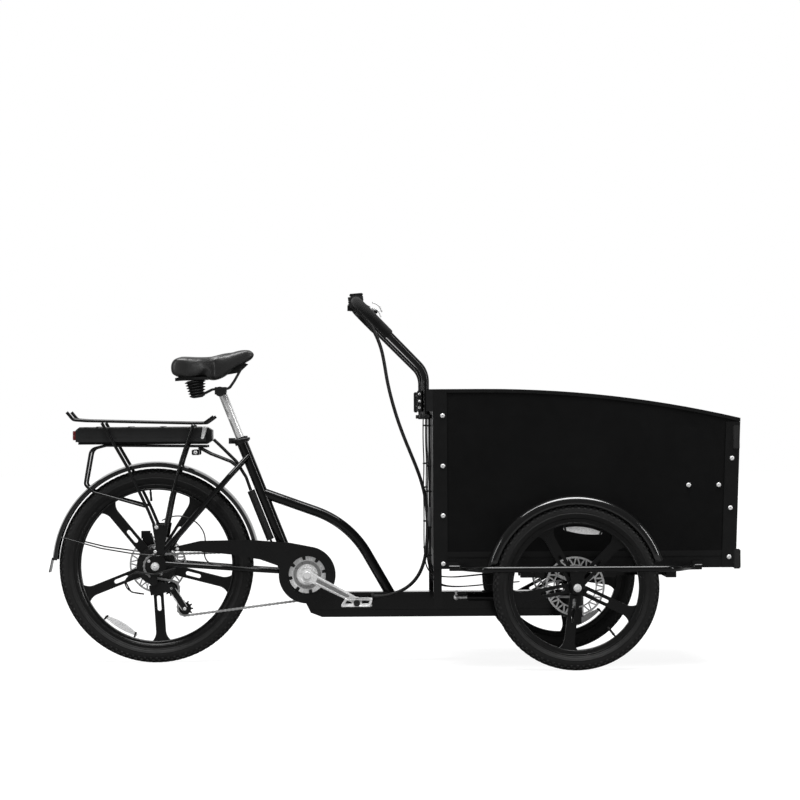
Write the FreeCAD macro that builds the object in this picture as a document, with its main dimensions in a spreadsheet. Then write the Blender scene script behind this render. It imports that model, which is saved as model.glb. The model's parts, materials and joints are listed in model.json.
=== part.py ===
# Electric cargo tricycle: one rear wheel, two front wheels beside a steering load box.
# Millimetres. +X forward, +Y to the rider's left, +Z up. The ground is Z = 0, the origin is on the
# ground under the middle of the tricycle, and Y = 0 is its middle plane.
import FreeCAD, Part
import math
import os
import Sketcher
from FreeCAD import Placement, Rotation, Vector

doc = FreeCAD.newDocument("CargoTricycle")

# ----------------------------------------------------------------------------------------------
# Driving dimensions
# ----------------------------------------------------------------------------------------------
DIMENSIONS = [
    ("rear_x", -733.0, "rear axle along X"),
    ("rear_r", 305.0, "rear tyre outer radius (24 inch wheel)"),
    ("front_x", 558.0, "front axles along X"),
    ("front_r", 251.5, "front tyre outer radius (20 inch wheel)"),
    ("track_half", 380.0, "front wheel middle plane from the middle plane"),
    ("tyre_w", 50.0, "tyre width"),
    ("tyre_depth", 43.0, "tyre crown above the rim flange"),
    ("bead_depth", 51.0, "tyre crown above the bead foot"),
    ("rear_rim_in", 237.5, "rear rim inner radius"),
    ("front_rim_in", 190.0, "front rim inner radius"),
    ("rim_w", 32.0, "rim width over the flanges"),
    ("spoke_w", 31.0, "cast spoke width near the hub"),
    ("spoke_end_w", 38.0, "cast spoke width where it flares into the rim"),
    ("spoke_t", 13.0, "cast spoke thickness"),
    ("rotor_r", 90.0, "brake rotor radius"),
    ("rotor_t", 2.0, "brake rotor thickness"),
    ("motor_r", 62.0, "rear hub motor shell radius"),
    ("front_hub_r", 26.0, "front hub radius"),
    ("axle_r", 6.0, "wheel axle radius"),
    ("crank_x", -259.0, "crank axle along X"),
    ("crank_z", 275.0, "crank axle height"),
    ("crank_len", 175.0, "crank arm, axle to pedal axle"),
    ("crank_in", 75.0, "crank arm inner face from the middle plane"),
    ("crank_t", 13.0, "crank arm thickness"),
    ("ring_teeth", 38.0, "chainring teeth"),
    ("cog_teeth", 18.0, "teeth of the sprocket that the chain runs on"),
    ("pulley_teeth", 11.0, "derailleur pulley teeth"),
    ("chain_pitch", 12.7, "chain pitch"),
    ("chain_y", 45.0, "chain line from the middle plane"),
    ("beam_rear", -265.0, "main beam rear end"),
    ("beam_top", 219.0, "main beam top face"),
    ("beam_high", 78.0, "main beam height"),
    ("beam_wide", 64.0, "main beam width over its bands"),
    ("beam_web", 54.0, "main beam width at the recessed sides"),
    ("beam_band_top", 10.0, "upper band height"),
    ("beam_band_low", 22.0, "lower band height"),
    ("beam_wall", 4.0, "main beam wall"),
    ("pivot_x", 578.0, "steering pivot along X"),
    ("pivot_r", 32.0, "steering pivot tube radius"),
    ("kingpin_r", 20.0, "kingpin radius"),
    ("seat_foot_x", -276.0, "seat tube axis where it meets the beam top"),
    ("seat_lean", 21.6, "seat tube lean from the vertical, degrees"),
    ("seat_tube_r", 17.5, "seat tube outer radius"),
    ("seat_post_r", 13.6, "seatpost radius"),
    ("seat_tube_len", 523.0, "seat tube length along its axis"),
    ("top_tube_r", 16.0, "top tube radius"),
    ("box_rear", 130.0, "load box rear face"),
    ("box_front_low", 1050.0, "load box front face at the bottom"),
    ("box_front_top", 1067.0, "load box front face at the top"),
    ("box_low", 304.0, "load box underside"),
    ("box_rail_high", 52.0, "load box bottom rail height"),
    ("box_high", 851.0, "load box rim height at the rear"),
    ("box_drop_start", 280.0, "where the box rim starts to curve down"),
    ("box_drop_r", 3400.0, "radius of the box rim curve"),
    ("box_half", 312.0, "load box half width over the corner profiles"),
    ("panel_t", 10.0, "box panel thickness"),
    ("profile_t", 3.0, "corner profile thickness"),
    ("profile_w", 43.0, "corner profile leg width"),
    ("trim_h", 11.0, "box rim trim height"),
    ("rail_y", 434.0, "side guard tube from the middle plane"),
    ("rail_r", 9.5, "side guard tube radius"),
    ("rail_z", 308.0, "side guard tube height"),
    ("front_fender_r", 276.0, "front fender crown radius"),
    ("rear_fender_r", 327.0, "rear fender crown radius"),
    ("fender_skin", 2.0, "fender thickness"),
    ("bar_r", 11.1, "handlebar tube radius"),
    ("bar_x", 109.0, "handlebar uprights along X"),
    ("bar_foot_y", 288.0, "handlebar uprights from the middle plane"),
    ("bar_foot_z", 760.0, "handlebar foot height"),
    ("bar_bend_z", 905.0, "height where the uprights bend back"),
    ("cross_x", -101.0, "handlebar crossbar along X"),
    ("cross_z", 1118.0, "handlebar crossbar height"),
    ("cross_half", 385.0, "handlebar corner from the middle plane"),
    ("grip_r", 15.5, "foam grip radius"),
    ("deck_y", 72.0, "rack deck tube from the middle plane"),
    ("rack_r", 5.0, "rack tube radius"),
    ("battery_rear", -980.0, "battery rear end"),
    ("battery_front", -573.0, "battery front end"),
    ("battery_low", 694.0, "battery underside"),
    ("battery_high", 47.0, "battery height"),
    ("battery_wide", 122.0, "battery width"),
    ("slip", 0.3, "gap between curved faces of different bodies"),
]

sheet = doc.addObject("Spreadsheet::Sheet", "Dims")
for row, (alias, value, note) in enumerate(DIMENSIONS, start=1):
    sheet.set("A%d" % row, note)
    sheet.set("B%d" % row, str(value))
    sheet.setAlias("B%d" % row, alias)
doc.recompute()


class Size:
    """A number kept together with the sheet expression that gives it."""

    def __init__(self, value, text):
        self.value = float(value)
        self.text = text

    @staticmethod
    def of(item):
        return item if isinstance(item, Size) else Size(item, "(%.6f)" % item)

    def join(self, other, sign, value):
        return Size(value, "(%s %s %s)" % (self.text, sign, Size.of(other).text))

    def __add__(self, other):
        return self.join(other, "+", self.value + number(other))

    def __sub__(self, other):
        return self.join(other, "-", self.value - number(other))

    def __mul__(self, other):
        return self.join(other, "*", self.value * number(other))

    def __truediv__(self, other):
        return self.join(other, "/", self.value / number(other))

    def __rsub__(self, other):
        return Size.of(other) - self

    def __neg__(self):
        return Size(-self.value, "(-1 * %s)" % self.text)


def number(item):
    """The plain number in a Size, or the number itself."""
    return item.value if isinstance(item, Size) else float(item)


def size(alias):
    """A driving dimension that can be bound to a property."""
    return Size(sheet.get(alias), "Dims.%s" % alias)


def mm(alias):
    """A driving dimension as a plain number."""
    return float(sheet.get(alias))


def bind(item, name, value):
    """Set a property and, where the value comes from the sheet, bind it."""
    setattr(item, name, number(value))
    if isinstance(value, Size):
        item.setExpression(name, value.text)


# ----------------------------------------------------------------------------------------------
# PartDesign helpers
# ----------------------------------------------------------------------------------------------
def new_body(label):
    body = doc.addObject("PartDesign::Body", label)
    body.Label = label
    return body


def datum(body, role):
    return next(item for item in body.Origin.OriginFeatures if item.Role == role)


def new_sketch(body, name, plane, lift=0.0):
    """Sketch on one of the body's own planes, lifted along the plane's normal.

    XY_Plane draws (X, Y) and faces +Z, XZ_Plane draws (X, Z) and faces -Y, YZ_Plane draws (Y, Z)
    and faces +X."""
    sketch = body.newObject("Sketcher::SketchObject", name)
    sketch.AttachmentSupport = [(datum(body, plane), "")]
    sketch.MapMode = "FlatFace"
    sketch.AttachmentOffset = Placement(Vector(0, 0, number(lift)), Rotation())
    if isinstance(lift, Size):
        sketch.setExpression("AttachmentOffset.Base.z", lift.text)
    return sketch


def hold(sketch, edge, vertex, x, y):
    """Hold a vertex at (x, y) from the sketch origin."""
    for kind, axis, value in (("DistanceX", -2, x), ("DistanceY", -1, y)):
        if abs(number(value)) < 1e-9:
            sketch.addConstraint(Sketcher.Constraint("PointOnObject", edge, vertex, axis))
            continue
        place = sketch.addConstraint(Sketcher.Constraint(kind, -1, 1, edge, vertex, number(value)))
        if isinstance(value, Size):
            sketch.setExpression("Constraints[%d]" % place, value.text)


def draw_outline(sketch, corners):
    """Closed outline. A corner is (x, y), or (x, y, (xm, ym)) where the edge that leaves it is an
    arc through (xm, ym)."""
    spots = [Vector(number(corner[0]), number(corner[1]), 0) for corner in corners]
    ends = []
    for place, corner in enumerate(corners):
        start, end = spots[place], spots[(place + 1) % len(spots)]
        if len(corner) == 3:
            middle = Vector(number(corner[2][0]), number(corner[2][1]), 0)
            edge = sketch.addGeometry(Part.Arc(start, middle, end), False)
            first = 1 if sketch.getPoint(edge, 1).distanceToPoint(start) < 1e-4 else 2
        else:
            edge = sketch.addGeometry(Part.LineSegment(start, end), False)
            first = 1
        ends.append((edge, first, 3 - first))
    for place, corner in enumerate(corners):
        edge, first, _ = ends[place]
        before, _, last = ends[place - 1]
        sketch.addConstraint(Sketcher.Constraint("Coincident", before, last, edge, first))
        hold(sketch, edge, first, corner[0], corner[1])


def draw_circle(sketch, x, y, radius):
    edge = sketch.addGeometry(Part.Circle(Vector(number(x), number(y), 0), Vector(0, 0, 1), number(radius)))
    hold(sketch, edge, 3, x, y)
    place = sketch.addConstraint(Sketcher.Constraint("Radius", edge, number(radius)))
    if isinstance(radius, Size):
        sketch.setExpression("Constraints[%d]" % place, radius.text)


def pad(body, sketch, length, both=False, back=False):
    """Pad along the sketch's normal, half each way when both, against it when back."""
    feature = body.newObject("PartDesign::Pad", sketch.Name + "_pad")
    feature.Profile = sketch
    bind(feature, "Length", length)
    feature.Midplane = both
    feature.Reversed = back
    return feature


def pocket(body, sketch):
    """Cut the sketch right through, both ways."""
    feature = body.newObject("PartDesign::Pocket", sketch.Name + "_pocket")
    feature.Profile = sketch
    feature.Type = 1
    feature.Midplane = True
    doc.recompute()
    return feature


def revolve(body, sketch, axis, angle=360.0):
    feature = body.newObject("PartDesign::Revolution", sketch.Name + "_turn")
    feature.Profile = sketch
    feature.ReferenceAxis = (datum(body, axis), [""])
    feature.Angle = angle
    return feature


def around(body, features, axis, count):
    """Repeat features round an axis of the body."""
    doc.recompute()
    pattern = body.newObject("PartDesign::PolarPattern", features[0].Name + "_round")
    pattern.Originals = features
    pattern.Axis = (datum(body, axis), [""])
    pattern.Angle = 360.0
    pattern.Occurrences = count
    body.Tip = pattern
    return pattern


def taken(body):
    """The body's shape, for a sub-part made of copies of it; the body leaves the document."""
    doc.recompute()
    shape = body.Shape.copy()
    body.removeObjectsFromDocument()
    doc.removeObject(body.Name)
    return shape


def put(item, x=0.0, y=0.0, z=0.0, turn_y=0.0):
    """Place a sub-part and bind its place to the sheet."""
    item.Placement = Placement(Vector(number(x), number(y), number(z)), Rotation(Vector(0, 1, 0), turn_y))
    for axis, value in (("x", x), ("y", y), ("z", z)):
        if isinstance(value, Size):
            item.setExpression("Placement.Base.%s" % axis, value.text)


# ----------------------------------------------------------------------------------------------
# Helpers for shapes that neither features nor primitives suit
# ----------------------------------------------------------------------------------------------
def feature(label, *solids):
    """Sub-part of one or more separate solids."""
    item = doc.addObject("Part::Feature", label)
    item.Label = label
    item.Shape = solids[0] if len(solids) == 1 else Part.Compound(list(solids))
    return item


def vec(x, y, z):
    return Vector(x, y, z)


def route(points, radius):
    """Straight runs joined by tangent arcs of the given radius, or one radius per inner point."""
    radii = radius if isinstance(radius, (list, tuple)) else [radius] * (len(points) - 2)
    edges = []
    start = points[0]
    for place in range(1, len(points) - 1):
        corner = points[place]
        into = (corner - points[place - 1]).normalize()
        out = (points[place + 1] - corner).normalize()
        half = into.getAngle(out) / 2
        reach = radii[place - 1] * math.tan(half)
        first, last = corner - into * reach, corner + out * reach
        inward = (out - into).normalize()
        middle = corner + inward * (radii[place - 1] / math.cos(half) - radii[place - 1])
        edges.append(Part.LineSegment(start, first).toShape())
        edges.append(Part.Arc(first, middle, last).toShape())
        start = last
    edges.append(Part.LineSegment(start, points[-1]).toShape())
    return Part.Wire(edges)


def soft_radii(points):
    """The largest even arcs a limp route allows: 0.45 of the shorter run over tan(half the turn)."""
    radii = []
    for place in range(1, len(points) - 1):
        into = points[place] - points[place - 1]
        out = points[place + 1] - points[place]
        half = into.getAngle(out) / 2
        radii.append(0.45 * min(into.Length, out.Length) / math.tan(half))
    return radii


def sweep(path, radius):
    """Round rod along a path."""
    start = path.Edges[0]
    point = start.valueAt(start.FirstParameter)
    heading = start.tangentAt(start.FirstParameter)
    section = Part.Wire(Part.Circle(point, heading, radius).toShape())
    return path.makePipeShell([section], True, False)


def rod(points, radius, bend=20.0):
    return sweep(route(points, bend), radius)


def tube(points, radius, wall, bend=20.0):
    """Hollow tube along a path."""
    path = route(points, bend)
    return sweep(path, radius).cut(sweep(path, radius - wall))


def bar(start, end, radius):
    """Round bar between two points."""
    return Part.makeCylinder(radius, (end - start).Length, start, end - start)


def block(x0, x1, y0, y1, z0, z1):
    return Part.makeBox(x1 - x0, y1 - y0, z1 - z0, Vector(x0, y0, z0))


def plate(corners, y0, y1):
    """Plate in the XZ plane between two Y planes."""
    wire = Part.makePolygon([Vector(x, y0, z) for x, z in corners + corners[:1]])
    return Part.Face(wire).extrude(Vector(0, y1 - y0, 0))


def disc(x, z, radius, y0, y1):
    """Disc whose axis is along Y."""
    return Part.makeCylinder(radius, y1 - y0, Vector(x, y0, z), Vector(0, 1, 0))


def mirrored(shape):
    """The same piece on the other side of the middle plane."""
    return shape.mirror(Vector(0, 0, 0), Vector(0, 1, 0))


def polar(radius, degrees):
    return radius * math.cos(math.radians(degrees)), radius * math.sin(math.radians(degrees))


def toothed(x, z, teeth, y0, y1, hole):
    """Sprocket with its axis along Y, teeth between the chain rollers."""
    pitch_r = mm("chain_pitch") / (2 * math.sin(math.pi / teeth))
    corners = []
    for tooth in range(teeth):
        for share, offset in ((-0.30, -3.2), (-0.12, 3.2), (0.12, 3.2), (0.30, -3.2)):
            dx, dz = polar(pitch_r + offset, 360.0 * (tooth + share) / teeth)
            corners.append((x + dx, z + dz))
    return plate(corners, y0, y1).cut(disc(x, z, hole, y0 - 1, y1 + 1))


def pitch_radius(teeth):
    return mm("chain_pitch") / (2 * math.sin(math.pi / teeth))


# ----------------------------------------------------------------------------------------------
# Frame
# ----------------------------------------------------------------------------------------------
def make_main_beam():
    """Hollow beam with a band along the top and bottom edges and a chamfered rear end."""
    body = new_body("main_beam")
    top, high = size("beam_top"), size("beam_high")
    wide, web = size("beam_wide") / 2, size("beam_web") / 2
    upper, lower = top - size("beam_band_top"), top - high + size("beam_band_low")
    wall = size("beam_wall")
    section = new_sketch(body, "beam_section", "YZ_Plane", size("beam_rear"))
    draw_outline(section, [
        (-wide, top - high), (wide, top - high), (wide, lower), (web, lower), (web, upper), (wide, upper),
        (wide, top), (-wide, top), (-wide, upper), (-web, upper), (-web, lower), (-wide, lower)])
    draw_outline(section, [
        (-(web - wall), top - high + wall), (web - wall, top - high + wall),
        (web - wall, top - wall), (-(web - wall), top - wall)])
    pad(body, section, size("pivot_x") - size("beam_rear"))
    chamfer = new_sketch(body, "beam_chamfer", "XZ_Plane")
    rear, base = size("beam_rear"), top - high
    draw_outline(chamfer, [(rear - 5, base - 5), (rear + 52, base - 5), (rear + 52, base),
                           (rear + 16, base + 14), (rear, base + 46), (rear - 5, base + 46)])
    pocket(body, chamfer)
    seat = new_sketch(body, "pivot_seat", "XY_Plane")
    draw_circle(seat, size("pivot_x"), 0, size("pivot_r") + 0.1)
    pocket(body, seat)
    return body


def seat_axis(along):
    """Point on the seat tube's axis, a distance up from the beam top."""
    lean = math.radians(mm("seat_lean"))
    return vec(mm("seat_foot_x") - along * math.sin(lean), 0, mm("beam_top") + along * math.cos(lean))


def above_beam(shape):
    """Trim a tube end flush with the beam's top face."""
    top = mm("beam_top")
    return shape.cut(block(-500, 500, -200, 200, top - 200, top + 0.05))


def make_seat_tube():
    length, outer = mm("seat_tube_len"), mm("seat_tube_r")
    shell = bar(seat_axis(-30), seat_axis(length), outer)
    bore = bar(seat_axis(-40), seat_axis(length + 10), mm("seat_post_r") + 0.05)
    slot_top = seat_axis(length)
    slot = block(slot_top.x - 60, slot_top.x - 6, -1.5, 1.5, slot_top.z - 45, slot_top.z + 40)
    feature("seat_tube", above_beam(shell.cut(bore)).cut(slot))
    return shell


def make_bottom_bracket(seat_tube_solid):
    """Bracket shell on a welded block, with a bearing ring at each end."""
    x, z, top = mm("crank_x"), mm("crank_z"), mm("beam_top")
    shell_r, bore_r, half, bearing = 20.0, 17.0, 34.0, 9.0
    shell = disc(x, z, shell_r, -half, half)
    foot = block(x - 24, x + 26, -24, 24, top + 0.05, z)
    shell = shell.fuse(foot).cut(disc(x, z, bore_r, -half - 1, half + 1)).cut(seat_tube_solid)
    rings = []
    for y0 in (-half, half - bearing):
        ring = disc(x, z, bore_r - 0.05, y0, y0 + bearing)
        rings.append(ring.cut(disc(x, z, 8.55, y0 - 1, y0 + bearing + 1)))
    feature("bottom_bracket", max(shell.Solids, key=lambda solid: solid.Volume), *rings)
    return shell


def make_top_tube(seat_tube_solid):
    """Swept tube from the seat tube, curving down on to the beam."""
    start = seat_axis(337)
    points = [start, vec(-126.5, 0, 434.3), vec(3, 0, 208)]
    curved = tube(points, mm("top_tube_r"), 2.0, 300)
    feature("top_tube", above_beam(curved).cut(seat_tube_solid))


def make_stays(seat_tube_solid, bracket):
    """Seat stays and chain stays with their dropout plates."""
    x, z = mm("rear_x"), 305.0
    seat_points = [seat_axis(462) + vec(4, -14, 0), vec(-505, -48, 581.3), vec(-700, -74, 359),
                   vec(-716, -74, 338)]
    seat_stay = rod(seat_points, 8.0, 60).cut(seat_tube_solid)
    chain_points = [vec(-292, -24, 284), vec(-352, -36, 287), vec(-440, -42, 293),
                    vec(-640, -72, 309), vec(-700, -74, 314)]
    chain_stay = rod(chain_points, 8.0, 60).cut(seat_tube_solid).cut(bracket)
    drop = plate([(x - 16, z - 20), (x + 18, z - 22), (x + 42, z + 2), (x + 34, z + 16), (x + 22, z + 40),
                  (x + 4, z + 44), (x - 20, z + 10)], -72.5, -67.5)
    drop = drop.cut(disc(x, z, mm("axle_r") + 0.1, -80, -60))
    drop = drop.cut(seat_stay).cut(chain_stay)
    drop = max(drop.Solids, key=lambda solid: solid.Volume)
    feature("rear_stays", seat_stay, mirrored(seat_stay), chain_stay, mirrored(chain_stay),
            drop, mirrored(drop))


def make_pivot():
    """Pivot tube at the beam's front end and the two bearing rings in it."""
    x, low, high = mm("pivot_x"), 136.0, 262.0
    outer, pin, ring = mm("pivot_r"), mm("kingpin_r"), 12.0
    shell = Part.makeCylinder(outer, high - low, vec(x, 0, low))
    shell = shell.cut(Part.makeCylinder(outer - 5, high - low + 2, vec(x, 0, low - 1)))
    rings = []
    for z in (low, high - ring):
        race = Part.makeCylinder(outer - 5.05, ring, vec(x, 0, z))
        rings.append(race.cut(Part.makeCylinder(pin + 0.05, ring + 2, vec(x, 0, z - 1))))
    feature("steering_pivot", shell, *rings)


# ----------------------------------------------------------------------------------------------
# Wheels
# ----------------------------------------------------------------------------------------------
def make_tyre(label, outer):
    """Tyre casing, open towards the rim. The axle is the body's Y axis."""
    body = new_body(label)
    section = new_sketch(body, label + "_section", "YZ_Plane")
    flange, bead = outer - size("tyre_depth"), outer - size("bead_depth")
    side, foot = 12.0, 8.0
    draw_outline(section, [
        (side, bead), (side, flange, (24.6, outer - 24)), (16.0, outer - 6, (0, outer)),
        (-16.0, outer - 6, (-24.6, outer - 24)), (-side, flange), (-side, bead), (-foot, bead),
        (-foot, flange, (0, outer - 5)), (foot, flange), (foot, bead)])
    revolve(body, section, "Y_Axis")
    return body


def make_rim(label, outer, inner, hub_section, hub_r, slot):
    """Cast wheel: rim ring, hub and five slotted spokes. The axle is the body's Y axis."""
    body = new_body(label)
    half = size("rim_w") / 2
    flange, seat = outer - size("tyre_depth") - 0.5, outer - size("bead_depth") - 0.3
    ring = new_sketch(body, label + "_ring", "YZ_Plane")
    draw_outline(ring, [
        (-half, flange), (-half, flange - 13), (-9.0, inner), (9.0, inner), (half, flange - 13),
        (half, flange), (half - 3.7, flange), (half - 3.7, seat), (7.0, seat), (5.0, seat - 6),
        (-5.0, seat - 6), (-7.0, seat), (-(half - 3.7), seat), (-(half - 3.7), flange)])
    revolve(body, ring, "Y_Axis")
    hub = new_sketch(body, label + "_hub", "YZ_Plane")
    draw_outline(hub, hub_section)
    revolve(body, hub, "Y_Axis")
    narrow, wide = size("spoke_w") / 2, size("spoke_end_w") / 2
    spoke = new_sketch(body, label + "_spoke", "XZ_Plane")
    draw_outline(spoke, [
        (hub_r - 6, -narrow), (inner - 34, -narrow, (inner - 10, -(narrow + 6))),
        (inner + 2.5, -(wide + 14)), (inner + 5, 0), (inner + 2.5, wide + 14, (inner - 10, narrow + 6)),
        (inner - 34, narrow), (hub_r - 6, narrow)])
    arm = pad(body, spoke, size("spoke_t"), both=True)
    near, far, half_slot = slot
    gap = new_sketch(body, label + "_slot", "XZ_Plane")
    draw_outline(gap, [
        (near, -half_slot), (far - half_slot, -half_slot, (far, 0)), (far - half_slot, half_slot),
        (near, half_slot, (near - half_slot, 0))])
    cut = pocket(body, gap)
    around(body, [arm, cut], "Y_Axis", 5)
    return body


def make_rotor(label, y):
    """Perforated brake disc on the body's Y axis, with six windows and two rings of holes."""
    body = new_body(label)
    radius = size("rotor_r")
    face = new_sketch(body, label + "_face", "XZ_Plane", y)
    draw_circle(face, 0, 0, radius)
    draw_circle(face, 0, 0, 23.0)
    pad(body, face, size("rotor_t"), both=True)
    window = new_sketch(body, label + "_window", "XZ_Plane")
    draw_outline(window, [(30.0, -7.0), (radius - 24, -25.0), (radius - 19, 0.0), (radius - 24, 25.0),
                          (30.0, 7.0)])
    windows = pocket(body, window)
    around(body, [windows], "Y_Axis", 6)
    hole = new_sketch(body, label + "_holes", "XZ_Plane")
    for angle, inset in ((0, 5.0), (5, 11.0), (10, 16.0)):
        dx, dz = polar(number(radius) - inset, angle)
        draw_circle(hole, dx, dz, 2.2)
    holes = pocket(body, hole)
    around(body, [holes], "Y_Axis", 20)
    return body


def make_front_wheel(side, sign, phase):
    """Front wheel on the right (sign -1) or left (sign 1); phase turns its spokes."""
    outer, inner, hub_r = size("front_r"), size("front_rim_in"), size("front_hub_r")
    x, y, z = size("front_x"), size("track_half") * sign, size("front_r")
    shell = hub_r - 7
    hub = [(-38.0, 8.0), (-38.0, 17.0), (-26.0, hub_r), (26.0, hub_r), (38.0, 17.0), (38.0, 8.0),
           (28.0, 8.0), (28.0, 12.0), (22.0, shell), (-22.0, shell), (-28.0, 12.0), (-28.0, 8.0)]
    rim = make_rim("front_rim_" + side, outer, inner, hub, hub_r, (40.0, 108.0, 5.0))
    put(rim, x, y, z, phase)
    put(make_tyre("front_tyre_" + side, outer), x, y, z)
    rotor = make_rotor("front_rotor_" + side, 39.1)
    flip = Rotation(Vector(0, 0, 1), 0 if sign > 0 else 180)
    rotor.Placement = Placement(Vector(number(x), number(y), number(z)), flip)


def make_rear_wheel():
    outer, inner, motor = size("rear_r"), size("rear_rim_in"), size("motor_r")
    x, z, wall = size("rear_x"), size("rear_r"), 5.0
    hub = [(-23.0, 14.0), (-23.0, motor - 14), (-12.0, motor), (36.0, motor), (46.0, motor - 14),
           (46.0, 30.0), (54.0, 30.0), (54.0, 14.0), (41.0, 14.0), (41.0, motor - 20),
           (32.0, motor - wall), (-10.0, motor - wall), (-18.0, motor - 20), (-18.0, 14.0)]
    rim = make_rim("rear_rim", outer, inner, hub, motor, (101.0, 143.0, 6.3))
    put(rim, x, 0, z, -57.5)
    put(make_tyre("rear_tyre", outer), x, 0, z)
    rotor = make_rotor("rear_rotor", -55.1)
    rotor.Placement = Placement(Vector(number(x), 0, number(z)), Rotation())


def make_axles():
    """Fixed axles with nuts and washers; the rear one carries the motor's stator."""
    x, z, axle = mm("rear_x"), mm("rear_r"), mm("axle_r")
    stator = mm("motor_r") - 10
    core = disc(x, z, stator, -6, 30).fuse(disc(x, z, 11.0, -40, 58)).fuse(disc(x, z, stator - 14, -10, 34))
    shaft = disc(x, z, axle, -84, 84).fuse(disc(x, z, axle - 1, -90, 90)).fuse(core)
    solids = [shaft]
    for sign in (-1, 1):
        for radius, near, far in ((13.0, 72.6, 74.6), (9.5, 74.6, 83.0)):
            low, high = sorted((sign * near, sign * far))
            solids.append(disc(x, z, radius, low, high).cut(disc(x, z, axle, low - 1, high + 1)))
    feature("rear_axle", *solids)
    x, z, middle = mm("front_x"), mm("front_r"), mm("track_half")
    solids = []
    for sign in (-1, 1):
        low, high = sorted((sign * (middle - 60), sign * (middle + 66)))
        solids.append(disc(x, z, axle, low, high))
        for radius, near, far in ((12.0, 58.1, 60.1), (9.0, 60.1, 64.5)):
            low, high = sorted((sign * (middle + near), sign * (middle + far)))
            solids.append(disc(x, z, radius, low, high).cut(disc(x, z, axle, low - 1, high + 1)))
    feature("front_axles", *solids)


def fender(label, radius, half_width, lip):
    """Curved fender skin: a crown with rounded edges, on the body's Y axis."""
    body = new_body(label)
    crown, skin = size(radius), size("fender_skin")
    section = new_sketch(body, label + "_section", "YZ_Plane")
    shoulder = crown - lip / 3
    draw_outline(section, [
        (-half_width, crown - lip), (-half_width, shoulder, (0, crown)), (half_width, shoulder),
        (half_width, crown - lip), (half_width - skin, crown - lip),
        (half_width - skin, shoulder - skin, (0, crown - skin)), (-(half_width - skin), shoulder - skin),
        (-(half_width - skin), crown - lip)])
    return body, section


def make_fenders():
    """Rear fender with its mud flap, and a front fender beside each box wall."""
    body, section = fender("rear_fender_skin", "rear_fender_r", size("tyre_w") / 2 + 9, 17.0)
    revolve(body, section, "Y_Axis", 163.0)
    skin = taken(body)
    skin.rotate(Vector(0, 0, 0), Vector(0, 1, 0), -86.5)
    skin.translate(vec(mm("rear_x"), 0, mm("rear_r")))
    tail = mm("rear_x") - mm("rear_fender_r")
    flap = plate([(tail + 3.1, 332), (tail + 1.0, 332), (tail - 9, 288), (tail - 6, 286)], -30, 30)
    feature("rear_fender", skin.fuse(flap).removeSplitter())
    body, section = fender("front_fender_skin", "front_fender_r", 28.0, 14.0)
    revolve(body, section, "Y_Axis", 150.0)
    skin = taken(body)
    skin.rotate(Vector(0, 0, 0), Vector(0, 1, 0), -77.0)
    solids = []
    for sign in (-1, 1):
        shell = skin.copy()
        shell.translate(vec(mm("front_x"), sign * mm("track_half"), mm("front_r")))
        solids.append(shell)
    feature("front_fenders", *solids)


# ----------------------------------------------------------------------------------------------
# Drive train
# ----------------------------------------------------------------------------------------------
def make_cranks():
    """Crank axle with both arms; the right arm points forward and down."""
    x, z, length = mm("crank_x"), mm("crank_z"), mm("crank_len")
    near, thick = mm("crank_in"), mm("crank_t")
    shape = disc(x, z, 8.5, -near - 2, near + 2)
    hole = 7.05
    for sign, angle in ((-1, -27.6), (1, 152.4)):
        low, high = sorted((sign * near, sign * (near + thick)))
        arm = disc(x, z, 17.0, low, high)
        outline = []
        for along, across in ((0, 15), (length - 4, 10.5), (length - 4, -10.5), (0, -15)):
            dx, dz = polar(along, angle)
            sx, sz = polar(across, angle + 90)
            outline.append((x + dx + sx, z + dz + sz))
        tip = polar(length, angle)
        arm = arm.fuse(plate(outline, low, high)).fuse(disc(x + tip[0], z + tip[1], 13.0, low, high))
        arm = arm.cut(disc(x + tip[0], z + tip[1], hole, low - 1, high + 1))
        cap_low, cap_high = sorted((sign * (near + thick), sign * (near + thick + 3)))
        shape = shape.fuse(arm).fuse(disc(x, z, 11.0, cap_low, cap_high))
    feature("cranks", shape.removeSplitter())


def make_chainring():
    """Toothed ring bolted to a notched spider disc."""
    x, z, y = mm("crank_x"), mm("crank_z"), -mm("chain_y")
    ring = toothed(x, z, int(mm("ring_teeth")), y - 1, y + 1, 52.0)
    spider = disc(x, z, 58.0, y - 5, y - 1.05).cut(disc(x, z, 8.55, y - 6, y))
    for step in range(5):
        dx, dz = polar(38.0, 54 + 72 * step)
        spider = spider.cut(disc(x + dx, z + dz, 11.0, y - 6, y))
        dx, dz = polar(59.0, 18 + 72 * step)
        spider = spider.cut(disc(x + dx, z + dz, 5.0, y - 6, y))
    bolts = []
    for step in range(5):
        dx, dz = polar(55.0 - 1.0, 54 + 72 * step)
        bolts.append(disc(x + dx, z + dz, 3.5, y - 7, y - 5.05))
    feature("chainring", ring, spider, *bolts)


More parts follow.
